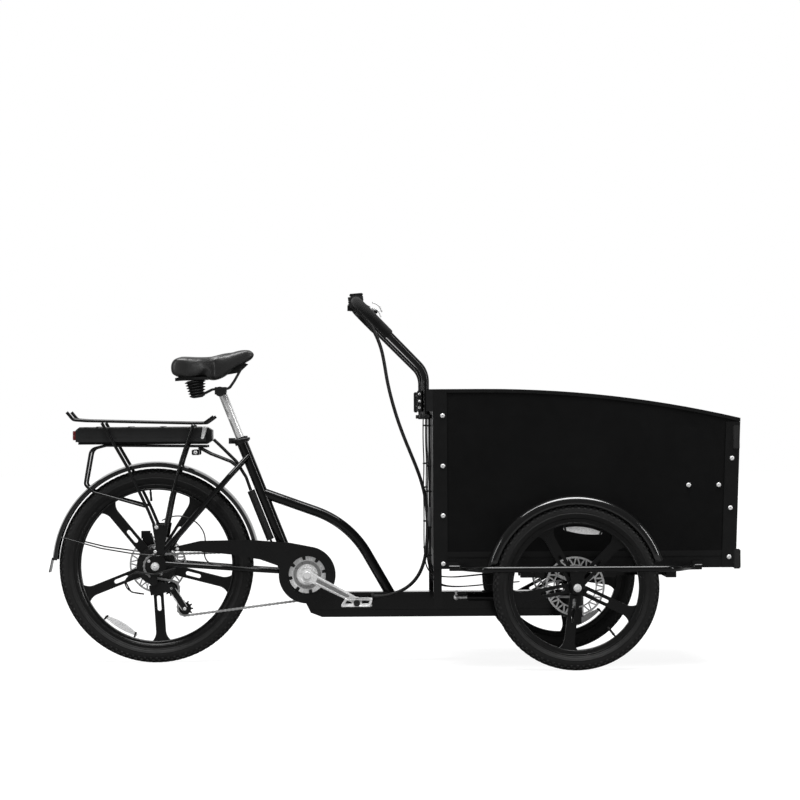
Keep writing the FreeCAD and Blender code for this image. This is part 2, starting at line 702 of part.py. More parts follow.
def make_pedal(side, sign, angle):
    """Platform pedal on its own axle; the axle turns in the crank's eye."""
    x, z, length = mm("crank_x"), mm("crank_z"), mm("crank_len")
    tip = polar(length, angle)
    px, pz = x + tip[0], z + tip[1]
    near = mm("crank_in")
    low = near + mm("crank_t") + 3

    def slab(x0, x1, y0, y1, z0, z1):
        a, b = sorted((sign * y0, sign * y1))
        return block(px + x0, px + x1, a, b, pz + z0, pz + z1)

    def spindle(radius, y0, y1):
        a, b = sorted((sign * y0, sign * y1))
        return disc(px, pz, radius, a, b)

    axle = spindle(7.0, near, low + 6).fuse(spindle(6.0, low, low + 88)).fuse(spindle(10.5, low, low + 4))
    cage = slab(-48, 48, low + 6, low + 86, -12, 12)
    for x0, x1 in ((-40, -12), (12, 40)):
        cage = cage.cut(slab(x0, x1, low + 14, low + 78, -20, 20))
    cage = cage.fuse(spindle(11.0, low + 5, low + 92)).cut(spindle(6.0, low + 4, low + 89))
    cage = cage.makeFillet(4.0, [edge for edge in cage.Edges if is_long_side(edge, px, 48)])
    feature("pedal_" + side, axle.fuse(cage).removeSplitter())


def is_long_side(edge, px, half):
    """An edge that runs along Y at the pedal's front or back face."""
    box = edge.BoundBox
    return box.YLength > 60 and box.XLength < 0.01 and box.ZLength < 0.01 and \
        abs(abs(box.XMin - px) - half) < 0.01


def wheel_train():
    """Chain wheels in running order: centre, pitch radius, and -1 where the chain turns clockwise."""
    return [
        (mm("rear_x"), mm("rear_r"), pitch_radius(mm("cog_teeth")), -1),
        (mm("crank_x"), mm("crank_z"), pitch_radius(mm("ring_teeth")), -1),
        (-642.0, 172.0, pitch_radius(mm("pulley_teeth")), -1),
        (-683.0, 236.0, pitch_radius(mm("pulley_teeth")), 1),
    ]


def chain_loop(grow):
    """Closed loop round the chain wheels, moved out from the chain's centre line by grow."""
    train = [(x, z, radius - turn * grow, turn) for x, z, radius, turn in wheel_train()]
    leaves, arrives = [], []
    for place, (x1, z1, r1, turn1) in enumerate(train):
        x2, z2, r2, turn2 = train[(place + 1) % len(train)]
        gap, heading = math.hypot(x2 - x1, z2 - z1), math.atan2(z2 - z1, x2 - x1)
        run = heading - math.asin((turn2 * r2 - turn1 * r1) / gap)
        nx, nz = -math.sin(run), math.cos(run)
        leaves.append(vec(x1 - turn1 * r1 * nx, 0, z1 - turn1 * r1 * nz))
        arrives.append(vec(x2 - turn2 * r2 * nx, 0, z2 - turn2 * r2 * nz))
    edges = []
    for place, (x, z, radius, turn) in enumerate(train):
        start, end = arrives[place - 1], leaves[place]
        centre = vec(x, 0, z)
        first = math.atan2(start.z - z, start.x - x)
        last = math.atan2(end.z - z, end.x - x)
        sweep_angle = (last - first) % (2 * math.pi) if turn > 0 else -((first - last) % (2 * math.pi))
        middle = first + sweep_angle / 2
        via = centre + vec(radius * math.cos(middle), 0, radius * math.sin(middle))
        edges.append(Part.Arc(start, via, end).toShape())
        edges.append(Part.LineSegment(end, arrives[place]).toShape())
    return Part.Face(Part.Wire(edges))


def make_chain():
    """Two side bands of the chain; the sprocket teeth turn in the space between them."""
    y, half_gap, thick = -mm("chain_y"), 1.7, 1.6
    band = chain_loop(4.0).cut(chain_loop(-4.0))
    solids = []
    for y0 in (y - half_gap - thick, y + half_gap):
        side = band.extrude(Vector(0, thick, 0))
        side.translate(vec(0, y0, 0))
        solids.append(side)
    feature("chain", *solids)


def make_chain_guard():
    """Plastic guard: a ring outside the chainring and a tail along the upper chain run."""
    x, z, y0, y1 = mm("crank_x"), mm("crank_z"), -62.0, -58.0
    tail = plate([(-592, 384), (-436, 386), (-311, 376), (-249, 364), (x, z), (-349, 304), (-405, 324),
                  (-493, 340), (-592, 350), (-672, 352), (-684, 359), (-672, 366)], y0, y1)
    guard = tail.fuse(disc(x, z, 89.0, y0, y1)).cut(disc(x, z, 61.0, y0 - 1, y1 + 1))
    rim = disc(x, z, 89.0, y1, y1 + 8).cut(disc(x, z, 87.0, y1 - 1, y1 + 9))
    rim = rim.cut(plate([(x, z), (x - 160, z + 96), (x - 160, z - 140), (x - 20, z - 160)], y1 - 2, y1 + 10))
    feature("chain_guard", guard.fuse(rim).removeSplitter())


def make_cassette():
    """Seven sprockets on a carrier with a lock ring."""
    x, z = mm("rear_x"), mm("rear_r")
    carrier = disc(x, z, 17.0, -60.5, -23.6).cut(disc(x, z, 13.0, -61, -23))
    solids = [carrier]
    for place, teeth in enumerate((28, 24, 21, 18, 15, 13, 11)):
        y = -30.0 - 5.0 * place
        solids.append(toothed(x, z, teeth, y - 1, y + 1, 17.05))
    solids.append(disc(x, z, 20.5, -62.6, -61.1).cut(disc(x, z, 13.0, -63, -60)))
    feature("cassette", *solids)


def make_derailleur():
    """Hanger, body and the two cage plates that carry the pulleys."""
    (gx, gz), (tx, tz) = [(wheel[0], wheel[1]) for wheel in (wheel_train()[3], wheel_train()[2])]
    y = -mm("chain_y")
    solids = []
    for y0 in (y - 8.2, y + 6.2):
        leaf = disc(gx, gz, 13.0, y0, y0 + 2).fuse(disc(tx, tz, 13.0, y0, y0 + 2))
        along = vec(tx - gx, 0, tz - gz).normalize()
        side = vec(-along.z, 0, along.x) * 9
        leaf = leaf.fuse(plate([(gx + side.x, gz + side.z), (tx + side.x, tz + side.z),
                                (tx - side.x, tz - side.z), (gx - side.x, gz - side.z)], y0, y0 + 2))
        solids.append(leaf.removeSplitter())
    for cx, cz in ((gx, gz), (tx, tz)):
        pin = disc(cx, cz, 3.0, y - 6.15, y + 6.15)
        solids.append(pin)
    knuckle = disc(gx, gz, 12.0, y - 20, y - 8.25)
    arm = plate([(gx - 6, gz - 11), (gx - 64, gz - 22), (gx - 70, gz + 8), (gx - 36, gz + 22),
                 (gx - 2, gz + 11)], y - 20, y - 9)
    pivot = disc(gx - 56, gz + 22, 13.0, y - 33, y - 12)
    hanger = plate([(gx - 66, gz + 14), (gx - 64, gz + 48), (gx - 44, gz + 48), (gx - 44, gz + 14)],
                   -72.5, -67.5)
    body = knuckle.fuse([arm, pivot, hanger]).cut(doc.getObject("rear_stays").Shape)
    solids.append(max(body.Solids, key=lambda solid: solid.Volume))
    feature("derailleur", *solids)


def make_pulleys():
    train = wheel_train()
    y = -mm("chain_y")
    for label, (x, z, _, _) in (("tension_pulley", train[2]), ("guide_pulley", train[3])):
        feature(label, toothed(x, z, int(mm("pulley_teeth")), y - 1.2, y + 1.2, 3.05))


def caliper(x, z, y, angle, reach, low=-15.0):
    """Disc brake caliper astride a rotor whose axle is at (x, z); the rotor is at y."""
    dx, dz = polar(mm("rotor_r") - 6, angle)
    body = disc(x + dx, z + dz, 17.0, y + low, y + 15)
    ox, oz = polar(mm("rotor_r") + 12, angle)
    body = body.fuse(block(x + ox - 14, x + ox + 14, y + low, y + 15, z + oz - 12, z + oz + 12))
    body = body.cut(disc(x, z, mm("rotor_r") + 3, y - 2.2, y + 2.2))
    ix, iz = polar(reach, angle)
    foot = bar(vec(x + ox, y, z + oz), vec(x + ix, y, z + iz), 5.0)
    return body.fuse(foot).cut(disc(x, z, mm("rotor_r") + 3, y - 2.2, y + 2.2))


def make_brakes():
    """Rear caliper on the left chain stay's dropout, front calipers under the inner axle plates."""
    x, z = mm("rear_x"), mm("rear_r")
    bracket = plate([(x - 26, z + 12), (x + 2, z + 30), (x - 20, z + 100), (x - 46, z + 92)], 63.5, 67.4)
    rear = caliper(x, z, 55.1, 112.0, 92.0, -6.5).fuse(bracket).cut(disc(x, z, 16.0, 60, 70))
    rear = rear.cut(doc.getObject("rear_stays").Shape)
    feature("rear_caliper", max(rear.Solids, key=lambda solid: solid.Volume))
    solids = []
    for sign in (-1, 1):
        y = sign * (mm("track_half") - 39.1)
        solids.append(caliper(mm("front_x"), mm("front_r"), y, -88.0, 60.0))
    return solids


# ----------------------------------------------------------------------------------------------
# Rack, battery and saddle
# ----------------------------------------------------------------------------------------------
def make_rack():
    """Luggage rack of bent rod round the battery, with its struts and the fender stays."""
    y, radius = mm("deck_y"), mm("rack_r")
    solids = []
    for sign in (-1, 1):
        s = sign * y
        deck = rod([vec(-1006, s, 788), vec(-986, s, 764), vec(-948, s, 761), vec(-617, s, 752),
                    vec(-576, s, 752), vec(-548, s, 772)], radius, 16)
        rear_strut = rod([vec(-897, s, 754), vec(-816, s, 612), vec(-753, s * 1.08, 480),
                          vec(-728, s * 1.12, 420)], radius, 150)
        front_strut = rod([vec(-613, s, 746), vec(-650, s, 636), vec(-682, s * 1.08, 520),
                           vec(-700, s * 1.12, 430)], radius, 150)
        shoe = plate([(-741, 436), (-690, 436), (-706, 345), (-726, 345)], s * 1.12 - 2.5, s * 1.12 + 2.5)
        side = deck.fuse(rear_strut).fuse(front_strut).fuse(shoe)
        low = rod([vec(-569, sign * 50, 679), vec(-890, sign * 50, 683), vec(-934, sign * 50, 672),
                   vec(-954, sign * 45, 560), vec(-925, sign * 46, 537), vec(-848, sign * 60, 516),
                   vec(-763, sign * 74, 492)], 4.0, [26, 24, 16, 16, 20])
        side = side.fuse(low)
        for x in (-836, -632):
            side = side.fuse(bar(vec(x, sign * 48, 682), vec(x, s + sign * 2, 682), 3.5))
        solids.append(side)
    bars = [bar(vec(x, -y, z), vec(x, y, z), 4.0) for x, z in ((-948, 761), (-916, 760.5), (-816, 757.5),
                                                              (-710, 754.5), (-617, 752))]
    frame = solids[0].fuse([solids[1]] + bars)
    return frame


def make_rack_feature():
    frame = make_rack()
    stays = []
    for sign in (-1, 1):
        wire = rod([vec(-716, sign * 86, 338), vec(-800, sign * 84, 346), vec(-900, sign * 64, 362),
                    vec(-1028, sign * 37, 396)], 2.2, 60)
        front = rod([vec(-597, sign * 50, 675), vec(-560, sign * 46, 655), vec(-497, sign * 44, 630),
                     vec(-480, sign * 34, 616)], 4.0, 20)
        stays.extend([wire, front])
    solids = frame.fuse(stays)
    solids = solids.cut(doc.getObject("rear_stays").Shape).cut(doc.getObject("rear_fender").Shape)
    keep = [solid for solid in solids.Solids if solid.Volume > 400]
    feature("rear_rack", *keep)


def make_battery():
    """Battery case with rounded ends, tail light, and the dock it slides on."""
    rear, front = size("battery_rear"), size("battery_front")
    low, high, wide = size("battery_low"), size("battery_high"), size("battery_wide")
    body = new_body("battery_case")
    outline = new_sketch(body, "battery_side", "XZ_Plane")
    draw_outline(outline, [
        (rear, low), (front, low), (front, low + high - 9), (front - 6, low + high),
        (rear + 12, low + high), (rear, low + high - 10)])
    solid = pad(body, outline, wide, both=True)
    doc.recompute()
    edges = ["Edge%d" % (place + 1) for place, edge in enumerate(body.Shape.Edges)
             if edge.BoundBox.XLength > 300 and edge.BoundBox.ZMin > number(low) + 9]
    fillet = body.newObject("PartDesign::Fillet", "battery_round")
    fillet.Base = (solid, edges)
    fillet.Radius = 6.0
    body.Tip = fillet
    x, base, top, half = number(rear), number(low), number(low + high), number(wide) / 2
    lens = block(x - 11, x - 0.05, -half + 18, half - 18, base + 6, top - 12)
    feature("tail_light", lens.makeFillet(4, [edge for edge in lens.Edges if edge.BoundBox.XMax < x - 1]))
    dock = block(x + 6, number(front) + 2, -38, 38, base - 8, base - 0.4)
    dock = dock.cut(block(x + 40, number(front) - 60, -22, 22, base - 9, base))
    head = plate([(number(front) + 0.5, base - 8), (number(front) + 18, base + 3),
                  (number(front) + 18, top - 12), (number(front) + 6, top - 4),
                  (number(front) + 0.5, top - 4)], -46, 46)
    low_bars = [bar(vec(place, -46, 681), vec(place, 46, 681), 4.5) for place in (-880, -640)]
    dock = dock.fuse([head] + low_bars).cut(doc.getObject("rear_rack").Shape)
    feature("battery_dock", max(dock.Solids, key=lambda solid: solid.Volume))


def make_saddle():
    """Seatpost, and the saddle's rails, base shell, springs and cushion."""
    post = bar(seat_axis(330), seat_axis(676), mm("seat_post_r"))
    head = seat_axis(676)
    feature("seatpost", post)
    x, z = head.x, head.z
    solids = []
    for sign in (-1, 1):
        s = sign * 21
        rail = rod([vec(-604, sign * 38, 838), vec(-578, sign * 26, 846), vec(x - 30, s, z + 10),
                    vec(x + 22, s, z + 12), vec(-486, sign * 16, 884), vec(-462, sign * 9, 926)], 3.5, 18)
        solids.append(rail)
    clamp = disc(x - 6, z + 3, 15.5, -27, 27).fuse(block(x - 22, x + 14, -27, 27, z - 6, z + 17))
    pan = plate([(-672, 884), (-600, 888), (-540, 898), (-470, 910), (-442, 936), (-452, 940), (-500, 918),
                 (-560, 906), (-672, 894)], -9, 9)
    wings = plate([(-660, 886), (-570, 888), (-570, 896), (-660, 895)], -68, 68)
    base = pan.fuse(wings).removeSplitter()
    base = base.cut(solids[0]).cut(solids[1])
    bellows = []
    for sign in (-1, 1):
        top, low = vec(-610, sign * 36, 885.9), vec(-602, sign * 36, 832)
        spring = Part.makeCone(20, 14, (low - top).Length, top, low - top)
        for turn in range(6):
            middle = top + (low - top) * (0.02 + 0.165 * turn)
            rib = Part.makeCone(31.0 - 2.0 * turn, 29.5 - 2.0 * turn, 5.5, middle, low - top)
            spring = spring.fuse(rib)
        spring = spring.cut(base).cut(solids[0]).cut(solids[1])
        bellows.append(max(spring.Solids, key=lambda solid: solid.Volume))
    post_hole = bar(seat_axis(600), seat_axis(676.05), mm("seat_post_r"))
    strap = clamp.cut(solids[0]).cut(solids[1]).cut(post_hole)
    feature("saddle_base", base, strap, *solids)
    feature("saddle_springs", *bellows)
    pad_side = Part.Face(route_closed([
        (-679, 898), (-682, 925), (-678, 946), (-662, 955), (-600, 952), (-560, 953), (-500, 971),
        (-468, 980), (-436, 980), (-424, 967), (-430, 951), (-474, 924), (-500, 906), (-521, 893),
        (-547, 887), (-600, 891)]))
    outline = Part.Face(route_closed_flat([
        (-690, -40), (-680, -78), (-640, -84), (-590, -66), (-545, -34), (-500, -21), (-450, -17),
        (-425, -10), (-425, 10), (-450, 17), (-500, 21), (-545, 34), (-590, 66), (-640, 84), (-680, 78),
        (-690, 40)]))
    cushion = pad_side.extrude(Vector(0, 200, 0))
    cushion.translate(vec(0, -100, 0))
    cushion = cushion.common(outline.extrude(Vector(0, 0, 200))).cut(base)
    feature("saddle_cushion", max(cushion.Solids, key=lambda solid: solid.Volume))


def route_closed(corners):
    """Closed outline in the XZ plane."""
    return Part.makePolygon([vec(x, 0, z) for x, z in corners + corners[:1]])


def route_closed_flat(corners):
    """Closed outline in a level plane under the saddle."""
    return Part.makePolygon([vec(x, y, 860) for x, y in corners + corners[:1]])


def make_seat_clamp():
    """Split collar at the top of the seat tube with its skewer, and the cam lever on the skewer."""
    top, low = seat_axis(mm("seat_tube_len") - 2), seat_axis(mm("seat_tube_len") - 20)
    bore = bar(seat_axis(480), seat_axis(540), mm("seat_tube_r") + 0.05)
    middle = seat_axis(mm("seat_tube_len") - 11)
    x, z = middle.x - 32, middle.z
    ear = block(x - 8, x + 14, -9, 9, z - 9, z + 9)
    gap = block(x - 28, x + 22, -1.5, 1.5, z - 30, z + 30)
    collar = bar(low, top, 23.0).fuse(ear).cut(bore).cut(gap)
    skewer = disc(x, z, 3.0, -11.5, 12).fuse(disc(x, z, 6.5, 9.05, 15))
    feature("seat_collar", collar.fuse(skewer).removeSplitter())
    cam = Part.makeCylinder(7.0, 14, vec(x, -19, z - 7))
    arm = rod([vec(x, -19, z), vec(x + 22, -33, z + 2), vec(x + 60, -34, z + 8)], 4.0, 14)
    feature("seat_lever", cam.fuse(arm).removeSplitter())


# ----------------------------------------------------------------------------------------------
# Load box and steering frame
# ----------------------------------------------------------------------------------------------
def rim_height(x, inset=0.0):
    """Height of the box rim at x, moved down by inset."""
    start, radius = mm("box_drop_start"), mm("box_drop_r")
    if x <= start:
        return mm("box_high") - inset
    return mm("box_high") - radius + math.sqrt(radius ** 2 - (x - start) ** 2) - inset


def front_face(z):
    """X of the box's sloping front face at height z."""
    low, rise = mm("box_low"), 455.0
    return mm("box_front_low") + (mm("box_front_top") - mm("box_front_low")) * (z - low) / rise


def side_outline(rear, front_gap, low, inset):
    """Outline of a box side below the curved rim, as corners with one arc."""
    start = mm("box_drop_start")
    end = mm("box_front_top") - front_gap
    middle = (start + end) / 2
    end_z = rim_height(end, inset)
    return [(rear, low), (front_face(low) - front_gap, low), (front_face(end_z) - front_gap, end_z,
            (middle, rim_height(middle, inset))), (start, rim_height(start, inset)),
            (rear, rim_height(start, inset))]


def make_box_panels():
    """Side panels as sketches padded inwards, then the end panels and the floor."""
    rail_top = mm("box_low") + mm("box_rail_high")
    half, skin = mm("box_half"), mm("profile_t")
    inner = half - skin - mm("panel_t")
    body = new_body("box_side_panel")
    outline = new_sketch(body, "side_outline", "XZ_Plane", inner)
    draw_outline(outline, side_outline(mm("box_rear") + 3, 3, rail_top, mm("trim_h")))
    pad(body, outline, size("panel_t"))
    right = taken(body)
    thick, rear = mm("panel_t"), mm("box_rear") + 3
    back = block(rear, rear + thick, -inner + 0.1, inner - 0.1, rail_top,
                 rim_height(rear, mm("trim_h")))
    top = rim_height(mm("box_front_top"), mm("trim_h"))
    front = plate([(front_face(rail_top) - 3 - thick, rail_top), (front_face(rail_top) - 3, rail_top),
                   (front_face(top) - 3, top), (front_face(top) - 3 - thick, top)],
                  -inner + 0.1, inner - 0.1)
    floor = block(mm("box_rear") + 18.2, mm("box_front_low") - 18.2, -inner + 9, inner - 9,
                  rail_top - 14, rail_top - 2)
    feature("box_panels", right, mirrored(right), back, front, floor)


def make_box_frame():
    """Bottom rails, corner profiles, corner feet and the trim along the rim."""
    low, half, skin = mm("box_low"), mm("box_half"), mm("profile_t")
    rail_top, rear, width = low + mm("box_rail_high"), mm("box_rear"), mm("profile_w")
    inner = half - skin - mm("panel_t")
    solids = []
    front = mm("box_front_low")
    for sign in (-1, 1):
        y0, y1 = sorted((sign * (half - skin), sign * (inner - 5)))
        rail = block(rear + skin, front - skin, y0, y1, low, rail_top)
        groove0, groove1 = sorted((sign * (half - skin + 1), sign * (half - skin - 2)))
        rail = rail.cut(block(rear, front + 20, groove0, groove1, low + 30, low + 36))
        solids.append(rail)
    for x0, x1 in ((rear + skin, rear + 18), (front - 18, front - skin)):
        solids.append(block(x0, x1, -inner + 5.1, inner - 5.1, low, rail_top))
    top_z = rim_height(rear, mm("trim_h"))
    front_top = rim_height(mm("box_front_top"), mm("trim_h")) - 0.3
    for sign in (-1, 1):
        angle = block(rear, rear + width, half - skin, half, low, top_z)
        angle = angle.fuse(block(rear, rear + skin, half - width, half, low, top_z))
        wire = Part.makePolygon([vec(front, half, low), vec(front, half - width, low),
                                 vec(front - skin, half - width, low), vec(front - skin, half - skin, low),
                                 vec(front - width, half - skin, low), vec(front - width, half, low),
                                 vec(front, half, low)])
        slope = vec(front_face(front_top) - front, 0, front_top - low)
        nose = Part.Face(wire).extrude(slope)
        for shape in (angle.removeSplitter(), nose):
            solids.append(shape if sign > 0 else mirrored(shape))
    edge, depth = mm("trim_h"), 17.0
    for sign in (-1, 1):
        y0, y1 = sorted((sign * half, sign * (half - depth)))
        solids.append(trim_strip(y0, y1, edge))
    solids.append(block(rear, rear + depth, -half + depth + 0.1, half - depth - 0.1,
                        top_z + 0.05, top_z + edge))
    nose_x = mm("box_front_top")
    nose_z = rim_height(nose_x, edge)
    solids.append(plate([(nose_x - depth, nose_z + 3.2), (nose_x, nose_z + 0.1), (nose_x, nose_z + edge),
                         (nose_x - depth, nose_z + edge + 3.2)], -half + depth + 0.1, half - depth - 0.1))
    feature("box_frame", *solids)


def trim_strip(y0, y1, edge):
    """Strip that follows the curved rim of a box side."""
    start, rear, nose = mm("box_drop_start"), mm("box_rear"), mm("box_front_top")
    middle = (start + nose) / 2

    def point(x, inset):
        return vec(x, y0, rim_height(x, inset))

    low = edge - 0.05
    edges = [Part.LineSegment(point(rear, 0), point(start, 0)).toShape(),
             Part.Arc(point(start, 0), point(middle, 0), point(nose, 0)).toShape(),
             Part.LineSegment(point(nose, 0), point(nose, low)).toShape(),
             Part.Arc(point(nose, low), point(middle, low), point(start, low)).toShape(),
             Part.LineSegment(point(start, low), point(rear, low)).toShape(),
             Part.LineSegment(point(rear, low), point(rear, 0)).toShape()]
    return Part.Face(Part.Wire(edges)).extrude(Vector(0, y1 - y0, 0))


def make_box_bolts():
    """Domed bolts through the corner profiles and into the bench brackets."""
    half = mm("box_half")
    rear_x, head = mm("box_rear") + 30, 4.2
    places = [(rear_x, z) for z in (770, 617, 466, 320)]
    places += [(front_face(z) - 22, z) for z in (636, 485, 336)]
    places += [(1000, 555)]
    solids = []
    for sign in (-1, 1):
        for x, z in places:
            base = half if x < 200 or x > 1010 else half - mm("profile_t")
            solids.append(screw(x, z, sign, base, head))
        solids.append(screw(908, 555, sign, half - mm("profile_t"), head))
    return solids


def screw(x, z, sign, base, head):
    """Dome head with a socket, on a plane parallel to the middle plane."""
    low, high = sorted((sign * base, sign * (base + head)))
    dome = disc(x, z, 7.0, low, high)
    outer = [edge for edge in dome.Edges if abs(edge.CenterOfMass.y) > base + head - 0.01]
    dome = dome.makeFillet(3.4, outer)
    low, high = sorted((sign * (base + head - 2.0), sign * (base + head + 1)))
    return dome.cut(disc(x, z, 2.6, low, high))


def make_subframe(calipers):
    """Steering frame under the box: kingpin, cross tubes, axle plates, legs and stop buffers."""
    x, low = mm("pivot_x"), mm("box_low")
    pin, thick = mm("kingpin_r"), 30.0
    top = low - 0.2
    base = top - thick
    plate_low = 264.0
    shape = Part.makeCylinder(pin, plate_low - 138, vec(x, 0, 138))
    shape = shape.fuse(block(x - 70, x + 70, -70, 70, plate_low, base + 1))
    for sign in (-1, 1):
        y0, y1 = sorted((sign * 120, sign * 150))
        shape = shape.fuse(block(397, 880, y0, y1, base, top))
        y0, y1 = sorted((sign * 240, sign * 270))
        shape = shape.fuse(block(397, 690, y0, y1, base, top))
    axle_x = mm("front_x")
    for x0, half in ((axle_x - 15, mm("track_half") - 54), (440, 290), (x - 15, 120), (840, 300)):
        shape = shape.fuse(block(x0, x0 + thick, -half, half, base, top))
    for sign in (-1, 1):
        inner = mm("track_half") - 54
        y0, y1 = sorted((sign * (inner - 5), sign * inner))
        leg = [(axle_x - 60, top), (axle_x + 60, top), (axle_x + 20, 232), (axle_x - 20, 232)]
        shape = shape.fuse(plate(leg, y0, y1))
        y0, y1 = sorted((sign * 284.5, sign * 309.5))
        shape = shape.fuse(block(mm("box_rear"), mm("box_rear") + 25, y0, y1, 187, low - 0.2))
    for sign in (-1, 1):
        inner = mm("track_half") - 54
        y0, y1 = sorted((sign * (inner - 6), sign * (inner + 1)))
        shape = shape.cut(disc(axle_x, mm("front_r"), mm("axle_r") + 0.1, y0, y1))
    stud = vec(x, -60, 0)
    shape = shape.fuse(block(x - 14, x + 14, -74, -46, 222, plate_low + 1))
    shape = shape.fuse(Part.makeCylinder(4.0, 30, vec(stud.x, stud.y, 193)))
    shape = shape.removeSplitter()
    for place, part in enumerate(calipers):
        calipers[place] = max(part.cut(shape).Solids, key=lambda solid: solid.Volume)
    feature("steering_frame", shape)
    feature("front_calipers", *calipers)


def make_side_rails():
    """Guard tube outside each front wheel, with its outer axle plate and end flanges."""
    z, radius, y = mm("rail_z"), mm("rail_r"), mm("rail_y")
    solids = []
    for sign in (-1, 1):
        points = [vec(178, sign * 322.5, z), vec(216, sign * 326, z), vec(274, sign * y, z),
                  vec(856, sign * y, z), vec(908, sign * 326, z), vec(944, sign * 322.5, z)]
        guard = rod(points, radius, [20, 45, 60, 30])
        y0, y1 = sorted((sign * (y - 2.5), sign * (y + 2.5)))
        x = mm("front_x")
        hanger = plate([(x - 24, z), (x + 24, z), (x + 14, 234), (x - 14, 234)], y0, y1)
        hanger = hanger.cut(disc(x, mm("front_r"), mm("axle_r") + 0.1, y0 - 1, y1 + 1))
        guard = guard.fuse(hanger)
        for x0 in (172, 916):
            y0, y1 = sorted((sign * 312.05, sign * 323))
            guard = guard.fuse(block(x0, x0 + 34, y0, y1, z + 2, z + 18))
        solids.append(guard.removeSplitter())
    feature("side_rails", *solids)


def bar_points(sign):
    return [vec(mm("bar_x"), sign * mm("bar_foot_y"), mm("bar_foot_z")),
            vec(mm("bar_x"), sign * mm("bar_foot_y"), mm("bar_bend_z")),
            vec(mm("cross_x"), sign * mm("cross_half"), mm("cross_z"))]


CORNER_BEND = 52.0


def make_handlebar():
    """One bent tube: two uprights, the sloping arms and the crossbar."""
    right, left = bar_points(-1), bar_points(1)
    feature("handlebar", tube(right + left[::-1], mm("bar_r"), 2.0, [70, CORNER_BEND, CORNER_BEND, 70]))
    solids = []
    for sign in (-1, 1):
        x, y = mm("bar_x"), sign * mm("bar_foot_y")
        shape = block(x - 17, mm("box_rear") - 0.1, y - 24, y + 24, 784, 850)
        shape = shape.cut(Part.makeCylinder(mm("bar_r") + 0.03, 100, vec(x, y, 770)))
        shape = shape.cut(block(x - 1.0, x + 1.0, y - 30, y - 10, 780, 860))
        shape = shape.cut(block(x - 1.0, x + 1.0, y + 10, y + 30, 780, 860))
        solids.append(max(shape.Solids, key=lambda solid: solid.Volume))
        for side in (-1, 1):
            for z in (800, 834):
                solids.append(bar(vec(x - 19, y + side * 18, z), vec(x - 17.05, y + side * 18, z), 4.0))
    feature("handlebar_clamps", *solids)


def grip_path(sign, down, along):
    """Path of a grip: down the sloping arm, round the corner and along the crossbar."""
    points = bar_points(sign)
    corner = points[2]
    slope = (points[1] - corner).normalize()
    return route([corner + slope * down, corner, vec(corner.x, sign * along, corner.z)], CORNER_BEND)


def make_grips():
    """Foam sleeves; the right one reaches further down its arm."""
    solids = []
    for sign, down, along in ((-1, 150, 263), (1, 95, 252)):
        path = grip_path(sign, down, along)
        solids.append(sweep(path, mm("grip_r")).cut(sweep(path, mm("bar_r") + 0.05)))
    feature("grips", *solids)


LEVER_TILT = -27.6
LEVER_ROOT = 33.0


def lever_point(out, y, up=0.0):
    """Point in the brake lever's plane: out from the crossbar, at y."""
    dx, dz = polar(out, LEVER_TILT)
    ux, uz = polar(up, LEVER_TILT + 90)
    return vec(mm("cross_x") + dx + ux, y, mm("cross_z") + dz + uz)


def make_controls():
    """Display, brake lever perches, shifter housing and the assist button pod on the crossbar."""
    x, z, radius = mm("cross_x"), mm("cross_z"), mm("bar_r") + 0.05
    solids = []
    for sign in (-1, 1):
        low, high = sorted((sign * 196, sign * 218))
        clamp = disc(x, z, 17.0, low, high)
        inner, outer = lever_point(10, sign * 207), lever_point(LEVER_ROOT - 9, sign * 207)
        arm = bar(inner, outer, 9.0)
        body = clamp.fuse(arm)
        ear_axis = lever_point(0, 0, 1) - lever_point(0, 0)
        for up in (-10.5, 6.6):
            foot = lever_point(LEVER_ROOT, sign * 207, up)
            ear = Part.makeCylinder(7.5, 3.9, foot, ear_axis)
            level = up + 1.95
            link = bar(lever_point(16, sign * 207, level), lever_point(LEVER_ROOT, sign * 207, level), 1.9)
            body = body.fuse(ear).fuse(link)
        pin_foot = lever_point(LEVER_ROOT, sign * 207, -10.5)
        body = body.fuse(Part.makeCylinder(2.5, 21, pin_foot, ear_axis))
        body = body.cut(disc(x, z, radius, low - 1, high + 1))
        barrel_start = lever_point(22, sign * 196)
        body = body.fuse(bar(barrel_start, barrel_start + vec(2, -sign * 18, 0), 5.0))
        solids.append(body.removeSplitter())
    housing = disc(x, z, 20.0, -239.5, -222).fuse(block(x - 27, x - 4, -239.5, -222, z - 25, z - 8))
    solids.append(housing.cut(disc(x, z, radius, -241, -221)))
    pod = disc(x, z, 15.0, 224, 250).fuse(block(x - 12, x + 26, 224, 250, z + 4, z + 20))
    pod = pod.cut(disc(x, z, radius, 220, 252))
    pod = pod.cut(block(x - 5, x + 21, 230, 244, z + 15, z + 21))
    solids.append(pod)
    mount = disc(x, z, 15.0, -30, -18).fuse(disc(x, z, 15.0, 18, 30))
    mount = mount.fuse(block(x - 10, x + 12, -30, 30, z + 12, z + 22)).cut(disc(x, z, radius, -32, 32))
    case = block(x - 26, x + 22, -42, 42, z + 18, z + 28)
    case = case.makeFillet(3.5, [edge for edge in case.Edges if edge.BoundBox.ZLength > 9])
    case.rotate(vec(x, 0, z + 22), vec(0, 1, 0), -6)
    solids.append(mount.fuse(case).removeSplitter())
    feature("controls", *solids)


